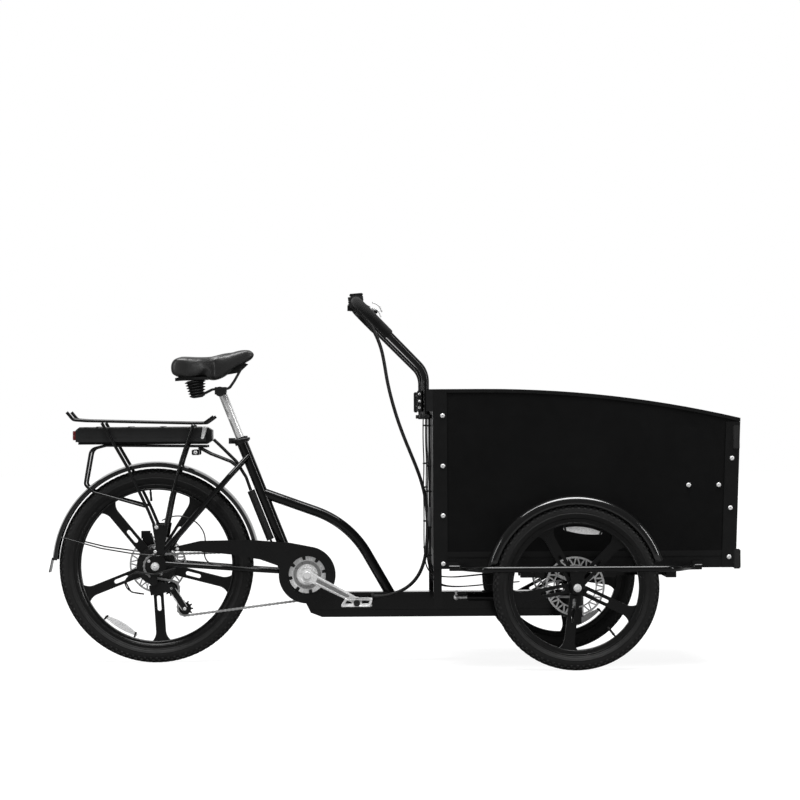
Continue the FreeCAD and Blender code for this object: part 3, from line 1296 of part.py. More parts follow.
def make_brake_lever(side, sign):
    """Lever blade with its boss between the perch's ears."""
    root = lever_point(LEVER_ROOT, sign * 207, -6.3)
    axis = lever_point(0, 0, 1) - lever_point(0, 0)
    boss = Part.makeCylinder(7.0, 12.6, root, axis)
    start = lever_point(LEVER_ROOT, sign * 207)
    blade = rod([start, lever_point(50, sign * 226), lever_point(66, sign * 258),
                 lever_point(67, sign * 330)], 4.2, [24, 60])
    knob = Part.makeSphere(6.5, lever_point(67, sign * 330))
    pin_hole = Part.makeCylinder(2.8, 30, lever_point(LEVER_ROOT, sign * 207, -15), axis)
    blade = boss.fuse([blade, knob]).cut(pin_hole)
    feature("brake_lever_" + side, max(blade.Solids, key=lambda solid: solid.Volume))


def make_shifter_ring():
    """Twist ring with grip ribs, turning on the crossbar."""
    x, z, low, high = mm("cross_x"), mm("cross_z"), -262.6, -240.2
    ring = disc(x, z, 22.5, low, high)
    for step in range(16):
        dx, dz = polar(22.0, 22.5 * step)
        ring = ring.fuse(disc(x + dx, z + dz, 2.4, low + 2, high - 2))
    feature("shifter_ring", ring.cut(disc(x, z, mm("bar_r") + mm("slip"), low - 1, high + 1)))


def make_assist_rocker():
    """Rocker key in the assist pod: its front end raises the assistance, its rear end lowers it."""
    x, z = mm("cross_x") + 8, mm("cross_z") + 21.5
    key = plate([(x - 12, z - 1.2), (x, z - 2.6), (x + 12, z - 1.2), (x + 12, z + 2.4), (x, z + 1.2),
                 (x - 12, z + 2.4)], 231, 243)
    key = key.fuse(disc(x, z - 1.5, 2.0, 231, 243)).removeSplitter()
    feature("assist_rocker", key)


def make_bench():
    """Bench plank with its hinge knuckles, and the brackets and hinge leaves that carry it."""
    z, rear, front = 570.0, 770.0, 1036.0
    inner = mm("box_half") - mm("profile_t") - mm("panel_t")
    plank = block(rear, front, -inner + 6, inner - 6, z, z + 15)
    plank = plank.makeFillet(5.0, [edge for edge in plank.Edges if edge.BoundBox.YLength > 400
                                   and edge.BoundBox.XMax < rear + 1])
    hinge = vec(front + 2.0, 0, z + 21.0)
    knuckles = []
    for y in (-200, 200):
        knuckle = disc(hinge.x, hinge.z, 4.5, y - 20, y + 20)
        leaf = block(front - 24, front + 2, y - 20, y + 20, z + 14.9, z + 17.5)
        knuckle = knuckle.fuse(leaf).cut(disc(hinge.x, hinge.z, 2.05, y - 21, y + 21))
        knuckles.append(knuckle)
    plank = plank.fuse(knuckles)
    feature("bench", plank.removeSplitter())
    solids = []
    for y in (-200, 200):
        face = front_face(hinge.z) - 13
        leaf = block(hinge.x - 2, face - 0.2, y - 36, y - 21, z + 18, z + 24)
        leaf = leaf.fuse(block(hinge.x - 2, face - 0.2, y + 21, y + 36, z + 18, z + 24))
        leaf = leaf.fuse(disc(hinge.x, hinge.z, 2.0, y - 36, y + 36))
        back = block(face - 3.2, face - 0.2, y - 36, y + 36, z + 18, z + 46)
        knuckle_gap = disc(hinge.x, hinge.z, 6.0, y - 20.5, y + 20.5)
        knuckle_gap = knuckle_gap.cut(disc(hinge.x, hinge.z, 2.0, y - 36, y + 36))
        solids.append(leaf.fuse(back).cut(knuckle_gap).removeSplitter())
    for sign in (-1, 1):
        y0, y1 = sorted((sign * (inner - 0.1), sign * (inner - 3)))
        wall = block(880, 1024, y0, y1, z - 32, z - 0.3)
        y0, y1 = sorted((sign * (inner - 0.1), sign * (inner - 34)))
        shelf = block(880, 1024, y0, y1, z - 3.3, z - 0.3)
        solids.append(wall.fuse(shelf).removeSplitter())
    feature("box_fittings", *solids, *make_box_bolts())


# ----------------------------------------------------------------------------------------------
# Cables and the steering damper
# ----------------------------------------------------------------------------------------------
LOOM_ROUTE = [vec(-92, -60, 1098), vec(-66, -61, 1072), vec(-42, -62, 1030), vec(-24, -64, 985),
              vec(-14, -66, 935), vec(-6, -68, 882), vec(6, -70, 828), vec(24, -72, 765),
              vec(45, -74, 706), vec(70, -75, 645), vec(95, -76, 582), vec(112, -77, 516),
              vec(118, -76, 448), vec(117, -75, 384), vec(110, -72, 324), vec(92, -66, 274),
              vec(60, -58, 237), vec(18, -50, 215), vec(-26, -43, 205), vec(-58, -38, 203)]


def make_cables():
    """Cable loom to the beam, brake hoses down the box, and the cables along the frame."""
    points = LOOM_ROUTE
    loom = sweep(route(points, soft_radii(points)), 5.5)
    loom = loom.cut(doc.getObject("main_beam").Shape)
    feature("cable_loom", max(loom.Solids, key=lambda solid: solid.Volume))
    hoses = []
    for sign in (-1, 1):
        for x, y in ((122, 262), (114, 270)):
            s = sign * y
            hoses.append(rod([vec(x, s, 780), vec(x - 1, s - sign * 4, 640), vec(x + 2, s, 480),
                              vec(x, s + sign * 2, 330), vec(x + 22, s - sign * 4, 262),
                              vec(x + 120, s - sign * 2, 250), vec(x + 272, s + sign * 6, 262)], 2.0, 40))
    feature("brake_hoses", *hoses)
    duct = bar(seat_axis(356) + rear_of_seat(31), seat_axis(190) + rear_of_seat(31), 12.0)
    conduit = rod([vec(-551, -16, 700), vec(-522, -15, 672), vec(-480, -13, 630), vec(-450, -6, 580),
                   seat_axis(357) + rear_of_seat(31)], 5.0, 30)
    shift = rod([vec(-668, -84, 300), vec(-735, -86, 282), vec(-792, -88, 290), vec(-826, -84, 262),
                 vec(-808, -74, 226), vec(-768, -66, 219)], 2.3, 14)
    tail = rod([seat_axis(189.9) + rear_of_seat(31), seat_axis(150) + rear_of_seat(31), vec(-342, -6, 268)],
               3.5, 20)
    feature("frame_cables", duct, conduit, shift, tail)


def rear_of_seat(gap):
    """Offset square to the seat tube, behind it."""
    lean = math.radians(mm("seat_lean"))
    return vec(-gap * math.cos(lean), 0, -gap * math.sin(lean))


def make_damper():
    """Steering damper: cylinder on the beam's side, rod to a stud beside the pivot."""
    y, z, start = -56.5, 202.0, 207.0
    end = mm("pivot_x")
    cylinder = bar(vec(start + 34, y, z), vec(start + 214, y, z), 11.0)
    cylinder = cylinder.cut(bar(vec(start + 40, y, z), vec(start + 215, y, z), 5.2))
    neck = bar(vec(start + 6, y, z), vec(start + 36, y, z), 5.0)
    ball = Part.makeSphere(9.0, vec(start, y, z))
    stud = bar(vec(start, y, z), vec(start, -27.5, z), 5.0)
    upright = bar(vec(start, y, z), vec(start, y, z + 22), 4.0)
    shape = cylinder.fuse([neck, ball, stud, upright]).cut(doc.getObject("main_beam").Shape)
    feature("damper_cylinder", max(shape.Solids, key=lambda solid: solid.Volume))
    shaft = bar(vec(start + 70, y, z), vec(end - 11, y, z), 4.8)
    opening = Part.makeCylinder(8.6, 12, vec(end, y, z - 6))
    eye = Part.makeCylinder(13.0, 10, vec(end, y, z - 5))
    feature("damper_rod", shaft.fuse(eye).cut(opening).removeSplitter())


# ----------------------------------------------------------------------------------------------
# Build, check and write
# ----------------------------------------------------------------------------------------------
def build():
    make_main_beam()
    doc.recompute()
    seat_tube_solid = make_seat_tube()
    bracket = make_bottom_bracket(seat_tube_solid)
    make_top_tube(seat_tube_solid)
    make_stays(seat_tube_solid, bracket)
    make_pivot()
    make_rear_wheel()
    make_front_wheel("right", -1, -46.5)
    make_front_wheel("left", 1, 8.2)
    make_axles()
    make_fenders()
    make_cranks()
    make_chainring()
    make_pedal("right", -1, -27.6)
    make_pedal("left", 1, 152.4)
    make_chain()
    make_chain_guard()
    make_cassette()
    make_derailleur()
    make_pulleys()
    calipers = make_brakes()
    make_rack_feature()
    make_battery()
    make_saddle()
    make_seat_clamp()
    make_box_panels()
    make_box_frame()
    make_subframe(calipers)
    make_side_rails()
    make_handlebar()
    make_grips()
    make_controls()
    make_brake_lever("right", -1)
    make_brake_lever("left", 1)
    make_shifter_ring()
    make_assist_rocker()
    make_bench()
    make_cables()
    make_damper()


def sub_parts():
    """Bodies, and features that no body holds."""
    return [item for item in doc.Objects
            if item.TypeId in ("PartDesign::Body", "Part::Feature") and not item.getParentGeoFeatureGroup()]


def check(parts):
    for item in doc.Objects:
        if "Invalid" in item.State or "Error" in item.State:
            raise RuntimeError("failed object: %s %s" % (item.Name, item.State))
    for item in parts:
        shape = item.Shape
        if shape.isNull() or not shape.isValid() or not shape.Solids:
            raise RuntimeError("bad shape: " + item.Label)


build()
doc.recompute()
finished = sub_parts()
check(finished)
os.makedirs("parts", exist_ok=True)
for item in finished:
    item.Shape.exportStep("parts/%s.step" % item.Label)
whole = Part.Compound([item.Shape for item in finished]).BoundBox
print("%d nodes, box X %.1f %.1f, Y %.1f %.1f, Z %.1f %.1f" % (
    len(finished), whole.XMin, whole.XMax, whole.YMin, whole.YMax, whole.ZMin, whole.ZMax))
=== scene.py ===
"""Cargo tricycle: materials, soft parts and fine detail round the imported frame."""
import json
import math

import bmesh
import bpy
from mathutils import Matrix, Vector


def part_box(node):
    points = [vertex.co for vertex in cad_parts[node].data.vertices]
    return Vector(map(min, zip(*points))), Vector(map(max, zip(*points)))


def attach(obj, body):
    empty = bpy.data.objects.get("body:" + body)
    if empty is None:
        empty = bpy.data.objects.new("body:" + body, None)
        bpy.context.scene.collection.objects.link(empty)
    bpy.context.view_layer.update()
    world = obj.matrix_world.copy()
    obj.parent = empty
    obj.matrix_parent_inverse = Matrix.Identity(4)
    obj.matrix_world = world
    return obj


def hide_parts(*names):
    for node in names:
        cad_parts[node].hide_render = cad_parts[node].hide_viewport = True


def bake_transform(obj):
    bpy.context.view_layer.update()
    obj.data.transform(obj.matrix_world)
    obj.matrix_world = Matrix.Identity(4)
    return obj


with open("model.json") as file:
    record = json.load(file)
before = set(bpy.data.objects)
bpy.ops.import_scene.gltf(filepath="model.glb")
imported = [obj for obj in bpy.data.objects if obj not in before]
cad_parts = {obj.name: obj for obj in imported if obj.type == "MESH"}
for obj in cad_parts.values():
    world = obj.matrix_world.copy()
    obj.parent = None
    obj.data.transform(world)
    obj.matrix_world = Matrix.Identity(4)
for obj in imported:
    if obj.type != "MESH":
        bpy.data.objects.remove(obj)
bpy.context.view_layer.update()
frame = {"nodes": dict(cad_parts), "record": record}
NODES = frame["nodes"]
SCENE = bpy.context.scene
MM = 0.001


# ---------- Camera, floor and light ----------
CAMERA_AT = Vector((-0.083, -8.80, 0.755))
CAMERA_LENS, CAMERA_SENSOR = 125.7, 36.0
CAMERA_YAW, CAMERA_PITCH, CAMERA_ROLL = (math.radians(angle) for angle in (-0.769, 90.429, -0.32))
FLOOR_SIZE, FLOOR_SHADE = 60, 0.20
FLOOR_GLOW, FLOOR_BOUNCE = 0.90, 0.02  # the floor's own light, as the camera and as the object gets it
ROOM_LIGHT, BACKDROP = 0.12, 0.85  # the white room's light, in front of the object and behind it
SKY_LIGHT, SKY_ANGLE, SKY_TILT = 3.1, math.radians(42), math.radians(16)
# Name, place, target, width, height and power
SOFTBOXES = (("light_top", (0.2, -0.9, 3.4), (0.1, 0, 0.4), 3.8, 0.6, 70),
             ("light_left", (-4.2, -3.4, 1.7), (-0.5, 0, 0.5), 0.4, 2.6, 42),
             ("light_right", (4.4, -3.4, 1.7), (0.5, 0, 0.5), 0.4, 2.6, 42))


def fill(node, values):
    """Sets a node's inputs by name."""
    for key, value in values.items():
        node.inputs[key].default_value = value


def put(name, data):
    """A new object in the scene."""
    item = bpy.data.objects.new(name, data)
    SCENE.collection.objects.link(item)
    return item


def make_camera():
    data = bpy.data.cameras.new("camera")
    data.lens, data.sensor_width = CAMERA_LENS, CAMERA_SENSOR
    data.clip_end = 100.0
    camera = put("camera", data)
    turn = (Matrix.Rotation(CAMERA_YAW, 4, "Z") @ Matrix.Rotation(CAMERA_PITCH, 4, "X")
            @ Matrix.Rotation(CAMERA_ROLL, 4, "Z"))
    camera.matrix_world = Matrix.Translation(CAMERA_AT) @ turn
    SCENE.camera = camera


def softbox(name, place, target, wide, high, power):
    data = bpy.data.lights.new(name, "AREA")
    data.shape, data.size, data.size_y, data.energy = "RECTANGLE", wide, high, power
    light = put(name, data)
    light.location = place
    light.rotation_euler = (Vector(target) - Vector(place)).to_track_quat("-Z", "Y").to_euler()


def camera_only(tree, light, seen):
    """One number for the light that a stage surface gives, and another where the camera sees it."""
    ray = tree.nodes.new("ShaderNodeLightPath")
    level = tree.nodes.new("ShaderNodeMapRange")
    fill(level, {"To Min": light, "To Max": seen})
    tree.links.new(ray.outputs["Is Camera Ray"], level.inputs["Value"])
    return level.outputs["Result"]


def make_studio():
    """A pale floor that runs off into a white background, and soft boxes above and in front."""
    bpy.ops.mesh.primitive_plane_add(size=FLOOR_SIZE, location=(0, 0, 0))
    floor = bpy.context.object
    floor.name = "floor"
    paint = bpy.data.materials.new("floor_paint")
    paint.use_nodes = True
    tree = paint.node_tree
    shader = tree.nodes["Principled BSDF"]
    fill(shader, {"Base Color": (FLOOR_SHADE, FLOOR_SHADE, FLOOR_SHADE, 1), "Roughness": 0.9,
                  "Specular IOR Level": 0.0, "Emission Color": (1, 1, 1, 1)})
    tree.links.new(camera_only(tree, FLOOR_BOUNCE, FLOOR_GLOW), shader.inputs["Emission Strength"])
    floor.data.materials.append(paint)
    SCENE.world = bpy.data.worlds.new("studio")
    SCENE.world.use_nodes = True
    tree = SCENE.world.node_tree
    back = tree.nodes["Background"]
    fill(back, {"Color": (1, 1, 1, 1)})
    facing = tree.nodes.new("ShaderNodeSeparateXYZ")
    tree.links.new(tree.nodes.new("ShaderNodeTexCoord").outputs["Generated"], facing.inputs["Vector"])
    behind = tree.nodes.new("ShaderNodeMapRange")
    behind.interpolation_type = "SMOOTHSTEP"
    fill(behind, {"From Min": 0.1, "From Max": 0.65, "To Min": ROOM_LIGHT, "To Max": BACKDROP})
    tree.links.new(facing.outputs["Y"], behind.inputs["Value"])
    level = camera_only(tree, ROOM_LIGHT, 1.0)
    tree.links.new(behind.outputs["Result"], level.node.inputs["To Min"])
    tree.links.new(level, back.inputs["Strength"])
    data = bpy.data.lights.new("light_sky", "SUN")
    data.energy, data.angle = SKY_LIGHT, SKY_ANGLE
    put("light_sky", data).rotation_euler = (SKY_TILT, 0, 0)
    for row in SOFTBOXES:
        softbox(*row)
    SCENE.view_settings.view_transform = "Standard"
    SCENE.view_settings.look = "None"


make_camera()
make_studio()


# ---------- Materials ----------
FINISHES = {}


class Paint:
    """A node material with colour variation, uneven roughness and a fine bump, kept by its name."""

    def __init__(self, name, metallic=0.0, coat=0.0, coat_rough=0.1, sheen=0.0, specular=0.5):
        FINISHES[name] = material = bpy.data.materials.new(name)
        material.use_nodes = True
        self.tree = material.node_tree
        self.shader = self.tree.nodes["Principled BSDF"]
        fill(self.shader, {"Metallic": metallic, "Coat Weight": coat, "Coat Roughness": coat_rough,
                           "Sheen Weight": sheen, "Specular IOR Level": specular})
        self.place = self.node("ShaderNodeTexCoord", {}).outputs["Object"]
        self.normal = None

    def node(self, kind, values):
        made = self.tree.nodes.new(kind)
        fill(made, values)
        return made

    def link(self, output, entry):
        self.tree.links.new(output, entry)

    def noise(self, scale, detail=3.0, stretch=None):
        made = self.node("ShaderNodeTexNoise", {"Scale": scale, "Detail": detail, "Roughness": 0.55})
        place = self.place
        if stretch:
            mapping = self.node("ShaderNodeMapping", {"Scale": stretch})
            self.link(place, mapping.inputs["Vector"])
            place = mapping.outputs["Vector"]
        self.link(place, made.inputs["Vector"])
        return made.outputs["Fac"]

    def cells(self, scale):
        made = self.node("ShaderNodeTexVoronoi", {"Scale": scale})
        self.link(self.place, made.inputs["Vector"])
        return made.outputs["Distance"]

    def waves(self, scale, direction, distortion=0.0):
        made = self.node("ShaderNodeTexWave", {"Scale": scale, "Distortion": distortion})
        made.bands_direction = direction
        self.link(self.place, made.inputs["Vector"])
        return made.outputs["Fac"]

    def colour(self, factor, low, high, start=0.35, end=0.65):
        made = self.node("ShaderNodeValToRGB", {})
        for stop, place, tone in zip(made.color_ramp.elements, (start, end), (low, high)):
            stop.position, stop.color = place, (*tone, 1)
        self.link(factor, made.inputs["Fac"])
        self.link(made.outputs["Color"], self.shader.inputs["Base Color"])

    def rough(self, factor, low, high):
        made = self.node("ShaderNodeMapRange", {"From Min": 0.3, "From Max": 0.7, "To Min": low,
                                                "To Max": high})
        self.link(factor, made.inputs["Value"])
        self.link(made.outputs["Result"], self.shader.inputs["Roughness"])

    def bump(self, height, distance, strength=0.5):
        made = self.node("ShaderNodeBump", {"Strength": strength, "Distance": distance})
        self.link(height, made.inputs["Height"])
        if self.normal is not None:
            self.link(self.normal, made.inputs["Normal"])
        self.normal = made.outputs["Normal"]
        self.link(self.normal, self.shader.inputs["Normal"])


def grey(value, tint=0.0):
    return (value, value * (1 + tint / 2), value * (1 + tint))


def powder_coat(name, value, rough, coat=0.0, grain=900.0, metallic=0.0, specular=0.5, lumps=0.00012):
    """Painted or moulded black surface with a fine orange-peel grain."""
    paint = Paint(name, metallic=metallic, coat=coat, specular=specular)
    paint.colour(paint.noise(6.0, 4.0), grey(value * 0.85, 0.03), grey(value * 1.15, 0.03))
    paint.rough(paint.noise(38.0, 3.0), rough * 0.86, rough * 1.14)
    paint.bump(paint.noise(grain, 2.0), lumps, 0.35)


def bare_metal(name, value, rough, brushed=None, tint=0.0, metallic=1.0):
    """Metal with fine scratches, stretched along the brushing direction if it has one."""
    paint = Paint(name, metallic=metallic)
    paint.colour(paint.noise(14.0, 4.0), grey(value * 0.93, tint), grey(value * 1.05, tint))
    paint.rough(paint.noise(120.0, 4.0, brushed), rough * 0.75, rough * 1.3)
    paint.bump(paint.noise(420.0, 3.0, brushed), 0.00006, 0.3)


def rubber(name, value, rough, scale=1400.0):
    paint = Paint(name, specular=0.35)
    paint.colour(paint.noise(22.0, 5.0), grey(value * 0.8), grey(value * 1.3))
    paint.rough(paint.noise(60.0, 4.0), rough * 0.9, rough * 1.08)
    paint.bump(paint.noise(scale, 3.0), 0.00015, 0.5)


def lens(name, low, high):
    """Coloured plastic with moulded prism rows under a smooth face."""
    paint = Paint(name, coat=0.8, coat_rough=0.05)
    paint.colour(paint.cells(260.0), low, high, 0.1, 0.6)
    paint.rough(paint.noise(60.0), 0.14, 0.24)
    paint.bump(paint.cells(260.0), 0.0004, 0.4)


def prisms(name):
    """Clear reflector: pale grey plastic with a fine honeycomb."""
    paint = Paint(name, coat=0.6, coat_rough=0.06)
    paint.colour(paint.cells(420.0), grey(0.35), grey(0.9), 0.1, 0.5)
    paint.rough(paint.noise(80.0), 0.16, 0.3)
    paint.bump(paint.cells(420.0), 0.0003, 0.5)


def leatherette(name, value):
    """Saddle vinyl: pebble grain, shallow creases, and a little more shine where it is worn."""
    paint = Paint(name, coat=0.25, coat_rough=0.3, specular=0.45)
    paint.colour(paint.noise(9.0, 5.0), grey(value * 0.75), grey(value * 1.35))
    paint.rough(paint.noise(16.0, 4.0), 0.30, 0.44)
    paint.bump(paint.cells(900.0), 0.00022, 0.5)
    paint.bump(paint.noise(140.0, 4.0), 0.0002, 0.35)


def foam(name, value):
    """Closed-cell foam: matt, with small open pores."""
    paint = Paint(name, sheen=0.1, specular=0.2)
    paint.colour(paint.noise(30.0, 5.0), grey(value * 0.8), grey(value * 1.4))
    paint.rough(paint.noise(50.0, 4.0), 0.82, 0.95)
    paint.bump(paint.cells(1500.0), 0.0003, 0.6)
    paint.bump(paint.noise(300.0, 3.0), 0.0002, 0.3)


def braid(name, value):
    """Woven sleeve round a bundle of cables."""
    paint = Paint(name, sheen=0.08, specular=0.25)
    across, along = paint.waves(230.0, "DIAGONAL"), paint.waves(300.0, "Z", 1.5)
    paint.colour(across, grey(value * 0.6), grey(value * 1.7), 0.2, 0.8)
    paint.rough(paint.noise(90.0, 4.0), 0.45, 0.62)
    paint.bump(across, 0.0004, 0.5)
    paint.bump(along, 0.0003, 0.4)


# One for each material slot of the record
powder_coat("frame_paint", 0.003, 0.16, coat=0.35, specular=0.2)
powder_coat("rack_paint", 0.0035, 0.24, coat=0.25, specular=0.3)
bare_metal("bearing_steel", 0.9, 0.28, metallic=0.3)
powder_coat("cast_rim", 0.0035, 0.30, coat=0.1, grain=1200.0, specular=0.3)
rubber("tyre", 0.0055, 0.6)
bare_metal("rotor_steel", 0.85, 0.28, metallic=0.35)
powder_coat("fender", 0.003, 0.12, coat=0.9, grain=300.0, lumps=0.00002, specular=0.5)
bare_metal("crank_alloy", 0.90, 0.24, (1, 6, 1), 0.0, 0.25)
powder_coat("pedal_body", 0.02, 0.5, specular=0.3)
bare_metal("chain_steel", 0.42, 0.36, metallic=0.6)
powder_coat("chain_guard", 0.004, 0.30, coat=0.1, grain=700.0, specular=0.3)
powder_coat("control_plastic", 0.008, 0.42, specular=0.3)
powder_coat("caliper", 0.012, 0.36, metallic=0.4)
powder_coat("battery_case", 0.016, 0.42, grain=1600.0, lumps=0.0002, specular=0.35)
lens("red_lens", (0.10, 0.004, 0.004), (0.20, 0.008, 0.007))
bare_metal("post_chrome", 0.95, 0.12, metallic=0.6)
bare_metal("spring_steel", 0.12, 0.35)
leatherette("saddle_cover", 0.013)
powder_coat("control_alloy", 0.02, 0.35, metallic=0.6)
powder_coat("box_panel", 0.0038, 0.55, grain=500.0, specular=0.1)
powder_coat("box_profile", 0.006, 0.34, metallic=0.1, specular=0.3)
foam("foam_grip", 0.008)
rubber("grip_rubber", 0.010, 0.7)
powder_coat("bench_board", 0.008, 0.55, specular=0.2)
braid("cable_jacket", 0.006)
# Details that differ from the rest of their slot
bare_metal("sprocket_black", 0.05, 0.34)
prisms("reflector_clear")
bare_metal("bright_chrome", 0.86, 0.10, metallic=0.6)
# Lighter grey rubber for the tread blocks: a painted highlight where the knobs catch the light
rubber("tread_painted_highlight", 0.019, 0.72)
bare_metal("dish_alloy", 0.34, 0.3, metallic=0.6)
powder_coat("light_trim", 0.14, 0.4, specular=0.3)
bare_metal("silver_cap", 0.8, 0.34, metallic=0.3)
rubber("thin_hose", 0.006, 0.38, 2200.0)
powder_coat("dark_glass", 0.003, 0.06, coat=0.8, grain=200.0, lumps=0.00001)
NODE_FINISH = {"cassette": "sprocket_black"}


def paint_nodes():
    slots = {row["node"]: row["material_slot"] for row in frame["record"]["subparts"]}
    for name, item in NODES.items():
        item.data.materials.clear()
        item.data.materials.append(FINISHES[NODE_FINISH.get(name, slots[name])])


paint_nodes()


# ---------- Mesh building ----------
def vec(x, y, z):
    """A point given in millimetres."""
    return Vector((x, y, z)) * MM


def polar(place, radius, angle):
    """Point on a circle in the side plane: place is (x, y, z) in mm, angle in degrees from +X up."""
    x, y, z = place
    turn = math.radians(angle)
    return vec(x + radius * math.cos(turn), y, z + radius * math.sin(turn))


def heading(angle):
    """Unit direction in the side plane, in degrees from +X up."""
    return polar((0, 0, 0), 1, angle).normalized()


def ring_of(centre, side, other, radius, steps):
    """Circle of points round a centre, in the plane of two unit directions."""
    turns = [2 * math.pi * step / steps for step in range(steps)]
    return [centre + (side * math.cos(turn) + other * math.sin(turn)) * radius for turn in turns]


def nurbs_curve(name, points):
    """A smooth line with the points as its control points, from the first point to the last."""
    data = bpy.data.curves.new(name, "CURVE")
    data.dimensions = "3D"
    spline = data.splines.new("NURBS")
    spline.points.add(len(points) - 1)
    for knot, point in zip(spline.points, points):
        knot.co = (*point, 1.0)
    spline.order_u = 3
    spline.use_endpoint_u = True
    spline.resolution_u = 10
    return put(name, data)


def line_of(points):
    """Points along the smooth line through the control points."""
    item = nurbs_curve("line", points)
    mesh = bpy.data.meshes.new_from_object(item)
    found = [vertex.co.copy() for vertex in mesh.vertices]
    data = item.data
    bpy.data.objects.remove(item)
    bpy.data.curves.remove(data)
    bpy.data.meshes.remove(mesh)
    return found


class Build:
    """Collects shapes into one mesh."""

    def __init__(self):
        self.mesh = bmesh.new()

    def rings(self, rings, closed=False, capped=True):
        """Skin through rings of points; a ring of one point is a tip."""
        made = [[self.mesh.verts.new(point) for point in ring] for ring in rings]
        for one, two in zip(made, made[1:] + made[:1] if closed else made[1:]):
            count = max(len(one), len(two))
            for step in range(count):
                after = (step + 1) % count
                corners = [one[step % len(one)], one[after % len(one)],
                           two[after % len(two)], two[step % len(two)]]
                corners = [corner for place, corner in enumerate(corners) if corner not in corners[:place]]
                if len(corners) > 2:
                    self.mesh.faces.new(corners)
        if capped and not closed:
            for ring in (made[0], made[-1]):
                if len(ring) > 2:
                    self.mesh.faces.new(ring)

    def turned(self, profile, foot, axis=(0, 1, 0), steps=40, closed=False):
        """Lathe: profile holds (distance along the axis, radius) in mm, foot is a point in metres."""
        axis = Vector(axis).normalized()
        side = axis.orthogonal().normalized()
        other = axis.cross(side)
        rings = []
        for along, radius in profile:
            centre = foot + axis * (along * MM)
            on_axis = radius < 0.01
            rings.append([centre] if on_axis else ring_of(centre, side, other, radius * MM, steps))
        self.rings(rings, closed=closed, capped=not closed)

    def tube(self, points, radius, steps=14, ends=0.6):
        """Round bar along points in metres; the radius in mm tapers a little at both ends."""
        side = None
        rings = []
        count = len(points)
        for place, point in enumerate(points):
            ahead = points[min(place + 1, count - 1)] - points[max(place - 1, 0)]
            ahead.normalize()
            side = ahead.orthogonal() if side is None else side - ahead * side.dot(ahead)
            side.normalize()
            size = radius * MM * (ends if place in (0, count - 1) else 1)
            rings.append(ring_of(point, side, ahead.cross(side), size, steps))
        self.rings(rings)

    def block(self, centre, size, along=(1, 0, 0), up=(0, 0, 1), bevel=1.0, taper=1.0):
        """Bevelled block: centre in metres, size in mm along, across and up; taper narrows its top."""
        along = Vector(along).normalized()
        up = Vector(up).normalized()
        across = up.cross(along).normalized()
        part = bmesh.new()
        bmesh.ops.create_cube(part, size=1.0)
        for vertex in part.verts:
            shrink = taper if vertex.co.z > 0 else 1.0
            vertex.co = Vector((vertex.co.x * size[0] * shrink, vertex.co.y * size[1] * shrink,
                                vertex.co.z * size[2])) * MM
        bmesh.ops.bevel(part, geom=part.edges[:], offset=bevel * MM, segments=2, affect="EDGES")
        turn = Matrix((along, across, up)).transposed().to_4x4()
        bmesh.ops.transform(part, matrix=Matrix.Translation(centre) @ turn, verts=part.verts)
        self.join(part)

    def slab(self, outline, y_low, y_high, bevel=0.0):
        """Flat plate in the side plane: outline of (x, z) in mm, between two Y values in mm."""
        part = bmesh.new()
        low = [part.verts.new(vec(x, y_low, z)) for x, z in outline]
        high = [part.verts.new(vec(x, y_high, z)) for x, z in outline]
        part.faces.new(low)
        part.faces.new(high[::-1])
        for step in range(len(outline)):
            after = (step + 1) % len(outline)
            part.faces.new((low[after], low[step], high[step], high[after]))
        if bevel:
            rim = [edge for edge in part.edges if abs(edge.verts[0].co.y - edge.verts[1].co.y) < 1e-6]
            bmesh.ops.bevel(part, geom=rim, offset=bevel * MM, segments=2, affect="EDGES")
        self.join(part)

    def join(self, part):
        mesh = bpy.data.meshes.new("part")
        part.to_mesh(mesh)
        part.free()
        self.mesh.from_mesh(mesh)
        bpy.data.meshes.remove(mesh)

    def finish(self, name, body, slot, finish=None, replaces=(), sharp=35.0):
        bmesh.ops.recalc_face_normals(self.mesh, faces=self.mesh.faces)
        mesh = bpy.data.meshes.new(name)
        self.mesh.to_mesh(mesh)
        self.mesh.free()
        return place_mesh(name, mesh, body, slot, finish, replaces, sharp)


def place_mesh(name, mesh, body, slot, finish=None, replaces=(), sharp=35.0):
    item = put(name, mesh)
    mesh.shade_smooth()
    mesh.set_sharp_from_angle(angle=math.radians(sharp))
    mesh.materials.clear()
    mesh.materials.append(FINISHES[finish or slot])
    if body:
        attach(item, body)
    if replaces:
        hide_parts(*replaces)
    return item


def apply_modifiers(item):
    """Swap an object's mesh for what its modifiers make of it."""
    graph = bpy.context.evaluated_depsgraph_get()
    mesh = bpy.data.meshes.new_from_object(item.evaluated_get(graph))
    item.modifiers.clear()
    item.data = mesh
    return item


# ---------- Cable loom from the handlebar to the main beam ----------
LOOM_ROUTE = [
    (-0.092, -0.060, 1.098), (-0.066, -0.061, 1.072), (-0.042, -0.062, 1.030), (-0.024, -0.064, 0.985),
    (-0.014, -0.066, 0.935), (-0.006, -0.068, 0.882), (0.006, -0.070, 0.828), (0.024, -0.072, 0.765),
    (0.045, -0.074, 0.706), (0.070, -0.075, 0.645), (0.095, -0.076, 0.582), (0.112, -0.077, 0.516),
    (0.118, -0.076, 0.448), (0.117, -0.075, 0.384), (0.110, -0.072, 0.324), (0.092, -0.066, 0.274),
    (0.060, -0.058, 0.237), (0.018, -0.050, 0.215), (-0.026, -0.043, 0.205), (-0.058, -0.038, 0.203)]
LOOM_WIDE = 0.011


